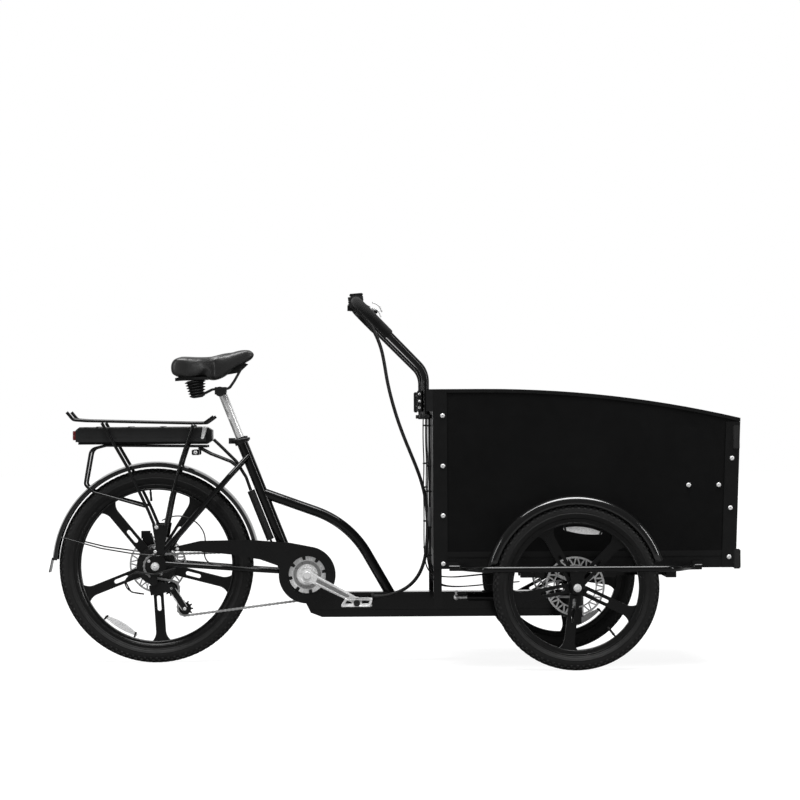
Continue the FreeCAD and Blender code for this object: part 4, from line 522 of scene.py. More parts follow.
def make_loom():
    line = line_of(LOOM_ROUTE)
    build = Build()
    build.tube(line, 1000 * LOOM_WIDE / 2, 16, 1.0)
    loom = build.finish("loom", None, "cable_jacket", replaces=["cable_loom"], sharp=60)
    clip = Build()
    start, ahead = line[0], (line[3] - line[0]).normalized()
    clip.turned([(-9, 5.0), (-9, 8.2), (-7, 9.4), (4, 9.4), (9, 7.6), (13, 6.4), (13, 5.0)], start,
                ahead, 32)
    clip.block(start + vec(-6, 0, 8), (20, 15, 7), ahead.cross(Vector((0, 1, 0))), ahead, 1.6)
    clip_piece = clip.finish("loom_clip", "steering", "control_plastic")
    grommet = Build()
    end, leaving = line[-1], (line[-4] - line[-1]).normalized()
    grommet.turned([(1, 5.6), (1, 12.0), (4, 13.0), (8, 11.5), (10, 8.6), (24, 7.4), (32, 6.2), (32, 5.2)],
                   end, leaving, 32)
    grommet.finish("loom_grommet", "root", "grip_rubber")
    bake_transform(loom)


make_loom()


# ---------- Saddle ----------
PAD_PRESSURE, PAD_FRAMES, PAD_CAP = 4.0, 20, 0.005
PAD_PROUD = Vector((0.001, 0.001, 0.001))
SEAM_HALF, SEAM_DEEP = 0.004, 0.0016


def copy_node(name, piece):
    return put(piece, NODES[name].data.copy())


def modified(item, kind, **values):
    """Puts one modifier on an object and applies it."""
    made = item.modifiers.new(kind.lower(), kind)
    for key, value in values.items():
        setattr(made, key, value)
    return apply_modifiers(item)


def even_out(item, times):
    modified(item, "SMOOTH", factor=0.5, iterations=times)


def inflate(item, cap):
    """Pads a closed mesh by cloth pressure; no point moves further than the cap, in metres."""
    rest = [vertex.co.copy() for vertex in item.data.vertices]
    cloth = item.modifiers.new("cloth", "CLOTH")
    cloth.settings.use_pressure = True
    cloth.settings.uniform_pressure_force = PAD_PRESSURE
    cloth.settings.effector_weights.gravity = 0
    cloth.settings.quality = 4
    for step in range(1, PAD_FRAMES + 1):
        SCENE.frame_set(step)
    apply_modifiers(item)
    SCENE.frame_set(1)
    for vertex, start in zip(item.data.vertices, rest):
        move = vertex.co - start
        if move.length > cap:
            vertex.co = start + move.normalized() * cap


def fit_inside(item, low, high):
    """Brings a swollen pad back to the box it has to fill."""
    points = [vertex.co for vertex in item.data.vertices]
    lows = [min(point[axis] for point in points) for axis in range(3)]
    highs = [max(point[axis] for point in points) for axis in range(3)]
    for vertex in item.data.vertices:
        for axis in range(3):
            share = (vertex.co[axis] - lows[axis]) / (highs[axis] - lows[axis])
            vertex.co[axis] = low[axis] + share * (high[axis] - low[axis])


def make_saddle():
    cushion = modified(copy_node("saddle_cushion", "cushion_shape"), "REMESH", mode="VOXEL", voxel_size=0.005)
    even_out(cushion, 12)
    inflate(cushion, PAD_CAP)
    even_out(cushion, 14)
    low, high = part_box("saddle_cushion")
    fit_inside(cushion, low - PAD_PROUD, high + PAD_PROUD)
    modified(cushion, "SUBSURF", levels=1, render_levels=1)
    mesh = cushion.data
    bpy.data.objects.remove(cushion)
    for vertex in mesh.vertices:
        x, y, z = vertex.co
        seam_y = 0.012 + 0.35 * max(0.0, -0.50 - x)
        near = max(0.0, 1 - abs(abs(y) - seam_y) / SEAM_HALF)
        on_top = 1 if vertex.normal.z > 0.55 else 0
        vertex.co.z = z - SEAM_DEEP * near * on_top
    pad = place_mesh("saddle_pad", mesh, "saddle", "saddle_cover", replaces=["saddle_cushion"], sharp=80)
    skirt = Build()
    for sign in (-1, 1):
        seam = [vec(-670, sign * 18, 905), vec(-664, sign * 60, 906), vec(-634, sign * 69, 905),
                vec(-590, sign * 54, 904), vec(-545, sign * 28, 906), vec(-505, sign * 16, 918),
                vec(-470, sign * 12, 938), vec(-440, sign * 7, 956)]
        skirt.tube(line_of(seam), 1.6, 8)
    skirt.finish("saddle_piping", "saddle", "saddle_cover")


def make_bellows():
    """Ribbed rubber boots round the two saddle springs."""
    build = Build()
    for sign in (-1, 1):
        top, low = vec(-610, sign * 36, 886), vec(-602, sign * 36, 832)
        length = (low - top).length / MM
        profile = [(0, 0), (0, 22)]
        ribs, fine = 6, 8
        for step in range(ribs * fine + 1):
            share = step / (ribs * fine)
            wave = 0.5 - 0.5 * math.cos(2 * math.pi * ribs * share)
            profile.append((1 + share * (length - 2), 24 - 8.0 * share + (8.5 - 2.0 * share) * wave))
        profile += [(length, 13), (length, 0)]
        build.turned(profile, top, low - top, 40)
    build.finish("spring_boots", "saddle", "grip_rubber", replaces=["saddle_springs"], sharp=70)


make_saddle()
make_bellows()


# ---------- Tyres with tread ----------
AXLES = {"rear_wheel": (-733.0, 0.0, 305.0), "front_wheel_right": (558.0, -380.0, 251.5),
         "front_wheel_left": (558.0, 380.0, 251.5)}
RIMS = {"rear_wheel": 237.5, "front_wheel_right": 190.0, "front_wheel_left": 190.0}
TYRE_HALF = ((13.2, 50.0), (15.2, 45.0), (18.6, 40.5), (23.6, 34.0), (25.0, 25.0), (24.0, 16.5),
             (20.4, 9.2), (15.0, 5.0), (8.0, 2.9), (0.0, 2.3))
# Rows of blocks from the middle out: side, depth, width, length, skew and lean
TREAD_ROWS = ((5.2, 1.3, 7.4, 12.5, 20, 4), (13.4, 2.6, 6.2, 11.0, -18, 18), (20.2, 6.9, 6.6, 8.6, 6, 46),
              (23.7, 13.4, 7.0, 6.4, 0, 70))
TREAD_PITCH, TREAD_HIGH, RIB_WIDE = 19.5, 2.4, 4.0


def make_tyre(name, node, body, outer, phase):
    """Carcass turned from its section, with blocks and shoulder lugs standing to the full radius."""
    x, y, z = AXLES[body]
    section = [*TYRE_HALF, *((-side, depth) for side, depth in reversed(TYRE_HALF[:-1]))]
    build, tread = Build(), Build()
    build.turned([(side, outer - depth) for side, depth in section], vec(x, y, z), steps=180, closed=True)
    count = round(2 * math.pi * outer / TREAD_PITCH)
    for step in range(count):
        for row, (side, depth, wide, long, skew, lean) in enumerate(TREAD_ROWS):
            for hand in (-1, 1):
                turn = 360.0 * (step + 0.5 * (row % 2) + (0.25 if hand > 0 else 0)) / count + phase
                at = polar((x, y + hand * side, z), outer - depth, turn)
                outward, tilt = heading(turn), math.radians(lean)
                up = outward * math.cos(tilt) + Vector((0, hand, 0)) * math.sin(tilt)
                around = Vector((-outward.z, 0, outward.x))
                skewed = Matrix.Rotation(math.radians(skew * hand), 3, up) @ around
                tread.block(at, (long, wide, TREAD_HIGH), skewed, up, 0.45, 0.86)
    for hand in (-1, 1):
        for depth, side in ((30.0, 25.1), (40.5, 18.9)):
            top, rise = outer - depth, hand * 0.9
            build.turned([(0, top - RIB_WIDE / 2), (rise, top - RIB_WIDE / 4), (rise, top + RIB_WIDE / 4),
                          (0, top + RIB_WIDE / 2)], vec(x, y + hand * (side - 0.6), z), steps=180, closed=True)
    build.finish(name, body, "tyre", replaces=[node], sharp=38)
    # The tread blocks take the lighter rubber: a painted highlight on the knobs against the darker carcass
    tread.finish(name + "_tread", body, "tyre", "tread_painted_highlight")


make_tyre("tyre_rear", "rear_tyre", "rear_wheel", 304.9, 0.0)
for hand, side in ((-1, "right"), (1, "left")):
    make_tyre("tyre_front_" + side, "front_tyre_" + side, "front_wheel_" + side, 251.4, 3.0 * hand)


# ---------- Chain of links round the four toothed wheels ----------
PITCH = 12.7
CHAIN_Y = -45.0
CHAIN_WHEELS = ((-733.0, 305.0, 18, -1), (-259.0, 275.0, 38, -1), (-642.0, 172.0, 11, -1),
                (-683.0, 236.0, 11, 1))


def chain_line():
    """The chain's centre line as points one millimetre apart, as (x, z)."""
    train = [(x, z, PITCH / 2 / math.sin(math.pi / teeth), turn) for x, z, teeth, turn in CHAIN_WHEELS]
    leaves, arrives = [], []
    for place, (x1, z1, r1, turn1) in enumerate(train):
        x2, z2, r2, turn2 = train[(place + 1) % len(train)]
        gap, heading = math.hypot(x2 - x1, z2 - z1), math.atan2(z2 - z1, x2 - x1)
        run = heading - math.asin((turn2 * r2 - turn1 * r1) / gap)
        nx, nz = -math.sin(run), math.cos(run)
        leaves.append((x1 - turn1 * r1 * nx, z1 - turn1 * r1 * nz))
        arrives.append((x2 - turn2 * r2 * nx, z2 - turn2 * r2 * nz))
    points = []
    for place, (x, z, radius, turn) in enumerate(train):
        start, end = arrives[place - 1], leaves[place]
        first = math.atan2(start[1] - z, start[0] - x)
        last = math.atan2(end[1] - z, end[0] - x)
        sweep = (last - first) % (2 * math.pi) if turn > 0 else -((first - last) % (2 * math.pi))
        count = max(2, int(abs(sweep) * radius))
        points += [(x + radius * math.cos(first + sweep * step / count),
                    z + radius * math.sin(first + sweep * step / count)) for step in range(count)]
        after = arrives[place]
        count = max(2, int(math.hypot(after[0] - end[0], after[1] - end[1])))
        points += [(end[0] + (after[0] - end[0]) * step / count,
                    end[1] + (after[1] - end[1]) * step / count) for step in range(count)]
    return points


def spaced(points, pitch):
    """Points of a closed line, evenly spaced, as near to the pitch as closes it with an even count."""
    loop = points + points[:1]
    gaps = [math.hypot(b[0] - a[0], b[1] - a[1]) for a, b in zip(loop, loop[1:])]
    count = 2 * round(sum(gaps) / pitch / 2)
    pitch = sum(gaps) / count
    found, travelled = [], 0.0
    for (a, b), gap in zip(zip(loop, loop[1:]), gaps):
        while len(found) < count and len(found) * pitch <= travelled + gap:
            share = (len(found) * pitch - travelled) / gap
            found.append((a[0] + (b[0] - a[0]) * share, a[1] + (b[1] - a[1]) * share))
        travelled += gap
    return found


def link_outline(a, b, end_r, waist):
    """Outline of a link plate between two pins: round ends and a narrow waist."""
    heading = math.atan2(b[1] - a[1], b[0] - a[0])
    outline = []
    for centre, first in ((b, -90), (a, 90)):
        for step in range(7):
            turn = heading + math.radians(first + step * 30)
            outline.append((centre[0] + end_r * math.cos(turn), centre[1] + end_r * math.sin(turn)))
        side = heading + math.radians(first + 180)
        middle = ((a[0] + b[0]) / 2, (a[1] + b[1]) / 2)
        outline.append((middle[0] + waist * math.cos(side), middle[1] + waist * math.sin(side)))
    return outline


def make_chain():
    pins = spaced(chain_line(), PITCH)
    build = Build()
    for place, pin in enumerate(pins):
        after = pins[(place + 1) % len(pins)]
        inner = place % 2
        y_in, y_out = (1.75, 2.5) if inner else (2.6, 3.3)
        outline = link_outline(pin, after, 3.9 if inner else 4.1, 2.7)
        for hand in (-1, 1):
            y0, y1 = sorted((CHAIN_Y + hand * y_in, CHAIN_Y + hand * y_out))
            build.slab(outline, y0, y1)
        foot = vec(pin[0], CHAIN_Y - 3.9, pin[1])
        build.turned([(0, 0), (0, 1.4), (0.4, 1.9), (2.1, 1.9), (2.1, 3.0), (5.7, 3.0), (5.7, 1.9),
                      (7.4, 1.9), (7.8, 1.4), (7.8, 0)], foot, steps=10)
    build.finish("chain_links", "root", "chain_steel", replaces=["chain"], sharp=40)


make_chain()


# ---------- Cables on the box and the frame ----------
def cable_group(name, body, slot, routes, radius, finish, replaces=()):
    build = Build()
    for route in routes:
        build.tube(line_of([vec(*point) for point in route]), radius, 10, 0.85)
    build.finish(name, body, slot, finish, replaces, 60)


def make_hoses():
    """Two hoses down each rear corner of the box, with clips, and on to the brakes."""
    routes, clips = [], Build()
    # Along X, out to the side, and the height
    run = ((0, 0, 780), (-2, 0, 700), (2, 0, 620), (-1, -2, 540), (1, 0, 460), (0, 2, 380), (1, 0, 320),
           (8, 0, 275), (34, -3, 252), (80, -4, 247), (130, 0, 250), (190, 4, 256), (272, 6, 262))
    for hand in (-1, 1):
        for x, y in ((122, 262), (114, 270)):
            routes.append([(x + dx, hand * (y + dy), z) for dx, dy, z in run])
        for z in (740, 617, 540, 430, 345):
            clips.block(vec(119, hand * 266, z), (16, 15, 5.5), bevel=1.4)
    cable_group("box_hoses", "steering", "cable_jacket", routes, 2.0, "thin_hose", ["brake_hoses"])
    clips.finish("hose_clips", "steering", "control_plastic")


def make_bar_cables():
    """Cables from both ends of the handlebar into the clip of the loom."""
    gather = (-92, -60, 1099)
    routes = []
    for start, middle in (((-66, -196, 1108), (-128, -150, 1120)), ((-66, 196, 1108), (-132, 60, 1128)),
                          ((-60, -232, 1106), (-118, -178, 1092)), ((-74, 150, 1106), (-126, 40, 1104))):
        bend = ((start[0] - 34, start[1] * 0.86, start[2] + 3), middle, (-112, -86, 1112))
        routes.append([start, *bend, gather])
    cable_group("bar_cables", "steering", "cable_jacket", routes, 2.3, "thin_hose")


make_hoses()
make_bar_cables()


# ---------- Foam sleeves on the handlebar ----------
def make_sleeves():
    item = modified(copy_node("grips", "sleeve_shape"), "REMESH", mode="VOXEL", voxel_size=0.0028)
    even_out(item, 8)
    mesh = item.data
    bpy.data.objects.remove(item)
    sleeves = place_mesh("foam_sleeves", mesh, "steering", "foam_grip", replaces=["grips"], sharp=80)


make_sleeves()


# ---------- Reflectors, valves, bolts and small fittings ----------
def arc_plate(build, place, r_inner, r_outer, first, last, y_low, y_high, bow=0.0):
    """Bevelled band in the side plane between two angles; bow moves the middle of its inner edge out."""
    x, y, z = place
    steps = 12
    outer, inner = [], []
    for step in range(steps + 1):
        share = step / steps
        turn = math.radians(first + (last - first) * share)
        lift = bow * (1 - (2 * share - 1) ** 2)
        outer.append((x + r_outer * math.cos(turn), z + r_outer * math.sin(turn)))
        inner.append((x + (r_inner + lift) * math.cos(turn), z + (r_inner + lift) * math.sin(turn)))
    build.slab(outer + inner[::-1], y + y_low, y + y_high, 1.0)


def make_wheel_fittings():
    """A reflector in its clips between two spokes, and a valve, on each wheel."""
    for body, angle, half, valve_at in (("rear_wheel", 239.0, 15.0, 94.5),
                                        ("front_wheel_right", 83.0, 19.0, -52.0),
                                        ("front_wheel_left", 300.0, 19.0, 20.0)):
        place, rim = AXLES[body], RIMS[body]
        glass, clips, valve = Build(), Build(), Build()
        arc_plate(glass, place, rim - 14, rim - 8, angle - half, angle + half, -6.5, 6.5, -15.0)
        for end in (-1, 1):
            spot = angle + end * (half - 1.5)
            at = polar(place, rim - 10, spot)
            out = heading(spot)
            clips.block(at, (17, 15.5, 6), out, (-out.z, 0, out.x), 1.2)
        foot = polar(place, rim + 3, valve_at)
        inward = -heading(valve_at)
        valve.turned([(0, 3.0), (10, 3.0), (10, 4.4), (13, 4.4), (13, 3.6), (26, 3.6), (27, 3.9), (36, 3.9),
                      (38, 2.6), (38, 0)], foot, inward, 18)
        glass.finish("reflector_" + body, body, "control_plastic", "reflector_clear")
        clips.finish("reflector_clips_" + body, body, "control_plastic")
        valve.finish("valve_" + body, body, "grip_rubber")


def box_mm(node):
    """The lowest and highest corner of a node's box, in mm."""
    low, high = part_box(node)
    return low / MM, high / MM


def make_battery_details():
    """Tabs on the lid, and two ribs along each side."""
    low, high = box_mm("battery_case")
    y_mid = (low.y + high.y) / 2
    tabs = Build()
    for x in (low.x + 70, low.x + 170, low.x + 270):
        tabs.block(vec(x, y_mid, high.z - 0.5), (22, 40, 4), bevel=1.2, taper=0.9)
    tabs.finish("battery_tabs", "battery", "battery_case")
    seam = Build()
    for z in (low.z + 14, high.z - 12):
        for hand in (-1, 1):
            wide = (high.y - low.y) / 2
            seam.block(vec((low.x + high.x) / 2, y_mid + hand * (wide - 0.1), z),
                       (high.x - low.x - 44, 1.2, 1.8), bevel=0.35)
    seam.finish("battery_ribs", "battery", "battery_case")


def paint_part(node, finish, test):
    """Gives the faces of a node whose centre and normal pass the test another finish."""
    mesh = NODES[node].data
    mesh.materials.append(FINISHES[finish])
    for face in mesh.polygons:
        if test(face.center / MM, face.normal):
            face.material_index = 1


def near_stay(at):
    """True within a rod's width of the line from the axle to the mudguard's lower end."""
    (x1, z1), (x2, z2) = (-745.0, 318.0), (-1040.0, 372.0)
    rise, run = z2 - z1, x2 - x1
    away = abs((at.x - x1) * rise - (at.z - z1) * run) / math.hypot(rise, run)
    return away < 14 and at.x < -765


def paint_details():
    paint_part("rear_rack", "bright_chrome", lambda at, normal: near_stay(at))
    paint_part("box_frame", "light_trim", lambda at, normal: normal.z > 0.8 and at.z > 780)
    paint_part("damper_cylinder", "bright_chrome", lambda at, normal: at.x < 243)


def make_corner_pads():
    """Rubber buffers on the box's front corners, and the clamps of the battery's dock."""
    pads = Build()
    for hand in (-1, 1):
        pads.block(vec(1053.5, hand * 309, 700), (21, 17, 74), bevel=3.0)
        pads.block(vec(1053.5, hand * 309, 330), (22, 16, 60), bevel=3.0)
    pads.finish("corner_pads", "steering", "grip_rubber")
    clamp, bolt = Build(), Build()
    for hand in (-1, 1):
        clamp.block(vec(-606, hand * 52, 660), (24, 16, 17), bevel=2.0)
        hex_bolt(bolt, vec(-606, hand * 59.8, 660), hand, 4.6, 3.4)
    clamp.finish("dock_clamps", "root", "rack_paint")
    bolt.finish("dock_bolts", "root", "bearing_steel")


def make_front_fenders():
    """Rounded mudguard shells over the front wheels, with rolled edges."""
    outer = [(0.0, 0.0), (10.0, -0.5), (17.0, -2.0), (22.5, -4.8), (26.2, -9.2), (27.8, -15.0), (28.4, -24.0),
             (28.0, -26.0)]
    inner = [(26.6, -25.0), (26.3, -15.6), (24.8, -10.3), (21.6, -6.4), (16.4, -3.7), (9.8, -2.2), (0.0, -1.7)]
    section = [(-side, deep) for side, deep in outer[:0:-1]] + outer + inner
    section += [(-side, deep) for side, deep in inner[-2::-1]]
    x, y, z = AXLES["front_wheel_left"]
    radius, first, sweep, steps = 276.0, 17.0, 150.0, 100
    build = Build()
    for hand in (-1, 1):
        rings = []
        for step in range(steps + 1):
            edge = min(step, steps - step)
            pinch = 1.0 - 0.14 * max(0, 3 - edge) / 3
            rings.append([polar((x, hand * y + side * pinch, z), radius + deep, first + sweep * step / steps)
                          for side, deep in section])
        build.rings(rings)
    build.finish("front_fender_shells", "steering", "fender", replaces=["front_fenders"], sharp=60)


def make_bar_details():
    """Display on its foot, adjuster barrels at the levers and a reach screw."""
    screen, metal = Build(), Build()
    screen.block(vec(-101, -150, 1146), (42, 66, 7), (1, 0, 0.08), (-0.08, 0, 1), 2.2)
    screen.block(vec(-101, -150, 1139), (16, 24, 12), bevel=2.0)
    screen.finish("display", "steering", "control_plastic", "dark_glass")
    for hand in (-1, 1):
        metal.turned([(0, 3.0), (0, 4.6), (3, 4.8), (5, 4.2), (8, 4.2), (9, 4.8), (12, 4.8), (13, 3.6),
                      (20, 3.2), (20, 0)], vec(-62, hand * 200, 1106), (0.86, hand * 0.05, -0.42), 18)
        hook = ((-52, 206, 1120), (-36, 210, 1116), (-26, 212, 1104), (-22, 212, 1090))
        metal.tube(line_of([vec(x, hand * y, z) for x, y, z in hook]), 2.6, 10)
    metal.finish("bar_adjusters", "steering", "control_alloy", "silver_cap")


def make_rotor(node, body, y_face):
    """Brake disc: inner and outer bands joined by slanted webs, on six bent arms."""
    x, _, z = AXLES[body]
    centre, webs, arms, first = (x, y_face, z), 40, 6, 12.0
    build, bolts = Build(), Build()
    for inner, outer in ((84.0, 89.9), (62.0, 66.0)):
        build.turned([(-1, inner), (-1, outer), (1, outer), (1, inner)], vec(*centre), steps=120, closed=True)
    for step in range(webs):
        turn = 360.0 * step / webs
        lean = math.radians(turn + (24 if step % 2 else -16))
        build.block(polar(centre, 75, turn), (20.5, 4.6, 1.9), (math.cos(lean), 0, math.sin(lean)),
                    (0, -1, 0), 0.3)
    for step in range(arms):
        turn = first + 60 * step
        foot, tip = polar(centre, 21, turn), polar(centre, 64, turn + 16)
        build.block((foot + tip) / 2, ((tip - foot).length / MM, 9.0, 2.0), tip - foot, (0, -1, 0), 0.4)
        bolts.turned([(-3.4, 0), (-3.4, 3.0), (-2.8, 3.6), (-1, 3.8), (1, 3.8), (2.8, 3.6), (3.4, 3.0),
                      (3.4, 0)], polar(centre, 22, 60 * step + first), steps=12)
    build.turned([(-1.2, 13.0), (-1.2, 26.0), (1.2, 26.0), (1.2, 13.0)], vec(*centre), steps=48, closed=True)
    build.finish("disc_" + body, body, "rotor_steel", replaces=[node], sharp=30)
    bolts.finish("disc_bolts_" + body, body, "bearing_steel")


def make_rim_edges():
    """Raised beads along each cast rim, where the light catches its edge."""
    for body, rim in RIMS.items():
        x, y, z = AXLES[body]
        build = Build()
        for hand in (-1, 1):
            for radius, side, wide in ((rim + 3.2, 15.6, 2.4), (rim + 15.5, 16.2, 2.2)):
                profile = [(hand * wide / 2 * math.sin(turn), radius + wide * math.cos(turn))
                           for turn in (math.pi * 2 * step / 8 for step in range(8))]
                build.turned(profile, vec(x, y + hand * (side - 0.4), z), steps=160, closed=True)
        build.finish("rim_edges_" + body, body, "cast_rim", sharp=70)


CRANK_AXLE = (-259.0, -45.0, 275.0)


def make_chainring():
    """Toothed ring with a polished disc in front of it that has eight notches round its edge."""
    x, y, z = CRANK_AXLE
    teeth, build = 38, Build()
    pitch_r = PITCH / 2 / math.sin(math.pi / teeth)
    outline = []
    for step in range(teeth):
        turn = 360.0 * step / teeth
        for part, radius in ((0.0, pitch_r + 3.6), (0.16, pitch_r + 2.6), (0.36, pitch_r - 3.4),
                             (0.64, pitch_r - 3.4), (0.84, pitch_r + 2.6)):
            at = polar(CRANK_AXLE, radius, turn + 360.0 / teeth * part) / MM
            outline.append((at.x, at.z))
    build.slab(outline, y - 1, y + 1)
    build.finish("chainring_teeth", "crankset", "chain_steel", "sprocket_black")
    disc = Build()
    disc.turned([(-1.2, 9.0), (-1.2, 47.0), (-3.4, 47.0), (-4.4, 44.0), (-4.4, 33.0), (-6.2, 31.0),
                 (-6.2, 24.0), (-4.6, 22.0), (-4.6, 9.0)], vec(x, y, z), steps=96, closed=True)
    dish = Build()
    dish.turned([(-4.3, 33.5), (-4.3, 43.5), (-4.9, 43.5), (-4.9, 33.5)], vec(x, y, z), steps=96, closed=True)
    dish.finish("chainring_dish", "crankset", "crank_alloy", "dish_alloy")
    notches = 8
    for step in range(notches):
        start = 360.0 / notches * step + 11
        arc_plate(disc, CRANK_AXLE, 45.5, 58.0, start + 5.5, start + 39.5, -4.6, -1.2)
    disc.finish("chainring_disc", "crankset", "crank_alloy", replaces=["chainring"], sharp=30)
    pads = Build()
    for step in range(notches):
        at = polar((x, y - 2.2, z), 51.5, 360.0 / notches * step + 11)
        out = heading(360.0 / notches * step + 11)
        pads.block(at, (11, 12, 1.8), out, (0, -1, 0), 0.4)
    pads.finish("chainring_pads", "crankset", "crank_alloy", "sprocket_black")


def make_crank_details():
    """Raised ribs that leave a groove along each arm, and the axle bolts' caps."""
    ribs, caps, grooves = Build(), Build(), Build()
    for hand, angle, face in ((-1, -27.6, -88.0), (1, 152.4, 88.0)):
        x, z = CRANK_AXLE[0], CRANK_AXLE[2]
        along = heading(angle)
        square = Vector((-along.z, 0, along.x))
        for edge in (-1, 1):
            first = vec(x, face + hand * 0.3, z) + along * 0.030 + square * (edge * 0.0095)
            last = vec(x, face + hand * 0.3, z) + along * 0.150 + square * (edge * 0.0065)
            ribs.block((first + last) / 2, ((last - first).length / MM, 4.2, 2.2), last - first,
                       (0, hand, 0), 0.8)
        middle = vec(x, face + hand * 0.1, z) + along * 0.090
        grooves.block(middle, (112, 10.5, 1.0), along, (0, hand, 0), 0.3)
        caps.turned([(0, 12.5), (hand * 1.2, 12.5), (hand * 2.6, 11.2), (hand * 2.6, 8.4),
                     (hand * 1.4, 7.6), (hand * 1.4, 0)], vec(x, face, z), steps=32)
    ribs.finish("crank_ribs", "crankset", "crank_alloy")
    grooves.finish("crank_grooves", "crankset", "crank_alloy", "dish_alloy")
    caps.finish("crank_caps", "crankset", "crank_alloy", "silver_cap")


def make_pedal_cage(side, hand, axis):
    """Cast alloy pedal: a cage of webs round a dark bearing barrel, with grip teeth."""
    (x, z), body = axis, "pedal_" + side[0]
    near, far = hand * 99.0, hand * 171.0
    outline = [(-48, -9), (-46, -12), (40, -12), (47, 4), (48, 9), (45, 12), (-30, 12), (-36, 10)]
    build = Build()
    for y in (near, far):
        ring = [vec(x + dx, y, z + dz) for dx, dz in outline]
        build.rings([[point + Vector((0, side_y * 0.0035, 0)) for point in ring] for side_y in (-1, 1)])
    cage = build.finish("pedal_plates_" + side, body, "crank_alloy", sharp=30)
    windows = Build()
    for y in (near, far):
        for corners in (((-40, -7), (-16, -7), (-16, 7), (-30, 7)), ((16, -7), (37, -7), (41, 7), (16, 7))):
            windows.slab([(x + dx, z + dz) for dx, dz in corners], y - 6, y + 6)
    cutter = windows.finish("pedal_windows_" + side, body, "crank_alloy")
    cut = cage.modifiers.new("cut", "BOOLEAN")
    cut.object, cut.solver = cutter, "EXACT"
    matrix = cage.matrix_world.copy()
    apply_modifiers(cage)
    cage.matrix_world = matrix
    bpy.data.objects.remove(cutter)
    frame_bars = Build()
    middle = (near + far) / 2
    for dx, dz in ((-45, -9), (44, -9), (-33, 9), (45, 9)):
        frame_bars.block(vec(x + dx, middle, z + dz), (5.5, 68, 5), bevel=1.2)
    for dx, up in ((-45, -1), (44, -1), (-33, 1), (45, 1)):
        for step in range(5):
            frame_bars.block(vec(x + dx, middle - 26 + 13 * step, z + up * 11.4), (4, 3, 2.0), bevel=0.5)
    frame_bars.finish("pedal_bars_" + side, body, "crank_alloy")
    barrel = Build()
    barrel.turned([(-44, 0), (-44, 8.5), (-42, 10.2), (-30, 10.2), (-28, 9.0), (28, 9.0), (30, 10.2),
                   (41, 10.2), (43, 8.5), (43, 5.5), (41.5, 5.0), (41.5, 0)],
                  vec(x, middle, z), (0, hand, 0), 32)
    barrel.turned([(-61, 0), (-61, 6.6), (-44, 6.6), (-44, 0)], vec(x, middle, z), (0, hand, 0), 24)
    barrel.finish("pedal_barrel_" + side, body, "pedal_body", replaces=["pedal_" + side])


def make_axle_caps():
    """Silver nuts with their washers on the ends of the front axles."""
    build = Build()
    for hand in (-1, 1):
        (x, _, z), y = AXLES["front_wheel_left"], hand * 421.0
        washer = [(x + 11.5 * math.cos(turn), z + 11.5 * math.sin(turn) + 5 * max(0, math.sin(turn)) ** 4)
                  for turn in (math.pi * step / 12 for step in range(24))]
        y0, y1 = sorted((y, y + hand * 2.2))
        build.slab(washer, y0, y1, 0.6)
        nut = [(x + 8.2 * math.cos(turn), z + 8.2 * math.sin(turn))
               for turn in (math.pi / 3 * step for step in range(6))]
        y0, y1 = sorted((y + hand * 2.2, y + hand * 8.0))
        build.slab(nut, y0, y1, 1.0)
    build.finish("front_axle_nuts", "steering", "bearing_steel")


def hex_bolt(build, at, hand, radius=4.0, deep=3.4):
    """Round head with a hexagon socket, on a plane that faces out to one side."""
    build.turned([(-0.4, 0), (-0.4, radius + 1.6), (0.7, radius + 1.6), (0.7, radius), (deep - 1, radius),
                  (deep, radius - 0.9), (deep, radius * 0.55), (deep - 1.8, radius * 0.45),
                  (deep - 1.8, 0)], at, (0, hand, 0), 20)


def make_gear_details():
    """Bolts of the rear hub, gear changer and chain guard, and bright edges on the changer's cage."""
    bolts, cage = Build(), Build()
    for x, y, z, radius in ((-733, -93, 305, 6.0), (-752, -78, 322, 3.4), (-714, -78, 283, 3.4),
                            (-683, -62, 236, 3.6), (-642, -62, 172, 3.6), (-757, -80, 250, 3.4),
                            (-727, -90, 428, 4.4), (-731, -90, 352, 3.6), (-664, -62.4, 359, 3.4)):
        hex_bolt(bolts, vec(x, y, z), -1, radius)
    bolts.finish("gear_bolts", "root", "bearing_steel")
    (x1, z1), (x2, z2) = (-683, 236), (-642, 172)
    dx, dz = x2 - x1, z2 - z1
    size = math.hypot(dx, dz)
    for hand in (-1, 1):
        nx, nz = -dz / size * 9.5 * hand, dx / size * 9.5 * hand
        middle = vec((x1 + x2) / 2 + nx * 1.15, -56, (z1 + z2) / 2 + nz * 1.15)
        cage.tube([vec(x1 + nx, -55.5, z1 + nz), middle, vec(x2 + nx, -55.5, z2 + nz)], 1.3, 8)
    cage.finish("changer_cage_edges", "root", "caliper", "silver_cap")


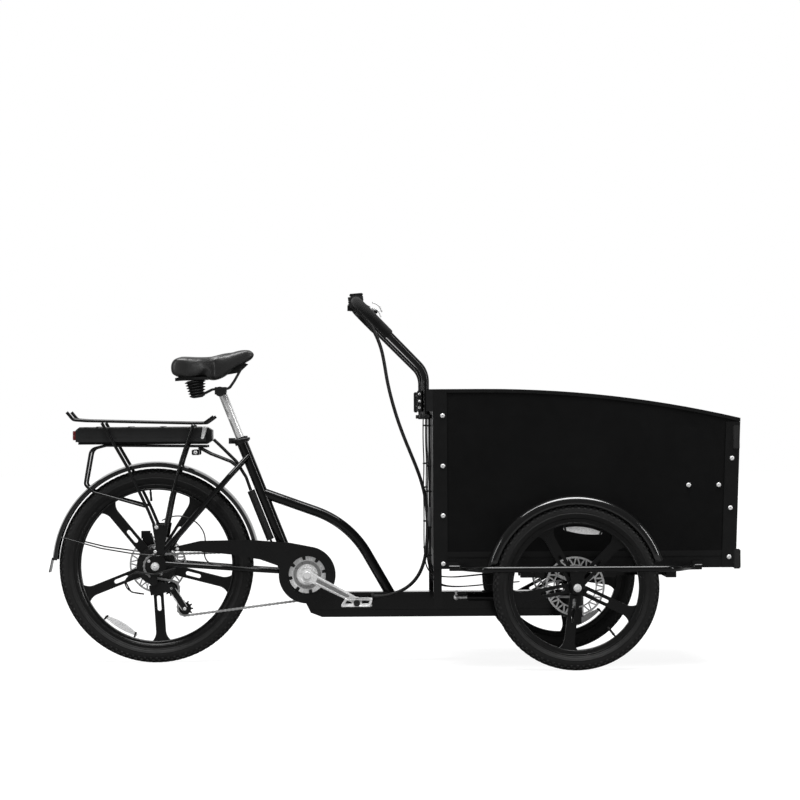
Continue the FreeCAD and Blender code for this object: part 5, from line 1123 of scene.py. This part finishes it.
def make_clamp_blocks():
    """Two-part clamps that hold the handlebar's legs on the box, with socket bolts."""
    blocks, bolts = Build(), Build()
    for hand in (-1, 1):
        y = hand * 288
        for x, z, long, high in ((90, 815, 13, 66), (124, 821, 18, 60)):
            blocks.block(vec(x, y, z), (long, 34, high), bevel=2.5)
        for z in (795, 815, 836):
            hex_bolt(bolts, vec(90, y + hand * 16.8, z), hand, 2.3, 2.4)
            hex_bolt(bolts, vec(124, y + hand * 16.8, z + 4), hand, 2.3, 2.4)
        blocks.turned([(-6, 15.5), (-6, 18.5), (-4, 19.5), (4, 19.5), (6, 18.5), (6, 15.5)],
                      vec(109, y, 768), (0, 0, 1), 36, True)
    blocks.finish("clamp_jaws", "steering", "control_plastic")
    bolts.finish("clamp_bolts", "steering", "bearing_steel")


def make_frame_cables():
    """Smooth gear and brake cables beside the rear wheel, and a pale sleeve on the box's hoses."""
    gear = [(-668, -84, 300), (-700, -86, 284), (-735, -87, 280), (-770, -88, 286), (-806, -88, 284),
            (-828, -85, 262), (-822, -79, 238), (-800, -73, 222), (-768, -66, 219)]
    brake = [(-712, -62, 448), (-684, -64, 462), (-640, -64, 462), (-598, -62, 440), (-574, -60, 398),
             (-582, -60, 350), (-574, -60, 318), (-540, -60, 306), (-470, -58, 300), (-410, -54, 292)]
    cable_group("rear_cables", "root", "cable_jacket", [gear, brake], 2.0, "thin_hose")
    sleeve = Build()
    sleeve.tube([vec(119, -266, z) for z in (491, 470, 450, 432)], 7.0, 20, 0.8)
    sleeve.finish("hose_sleeve", "steering", "cable_jacket", "light_trim")


def make_battery_cap():
    """Pale cap over the battery's front end."""
    low, high = box_mm("battery_case")
    cap = Build()
    y0, y1 = low.y - 0.7, high.y + 0.7
    cap.slab([(high.x - 17, low.z + 7), (high.x - 7, low.z + 7), (high.x - 1, low.z + 22),
              (high.x + 3, high.z - 2), (high.x - 11, high.z + 0.6)], y0, y1, 1.2)
    cap.finish("battery_cap", "battery", "battery_case", "silver_cap")


make_corner_pads()
make_front_fenders()
make_bar_details()
make_rotor("rear_rotor", "rear_wheel", 55.1)
make_rotor("front_rotor_right", "front_wheel_right", -340.9)
make_rotor("front_rotor_left", "front_wheel_left", 340.9)
make_rim_edges()
make_chainring()
make_crank_details()
make_pedal_cage("right", -1, (-103.914, 193.923))
make_pedal_cage("left", 1, (-414.086, 356.077))
make_axle_caps()
make_gear_details()
make_clamp_blocks()
make_frame_cables()
make_battery_cap()
make_wheel_fittings()
make_battery_details()
paint_details()
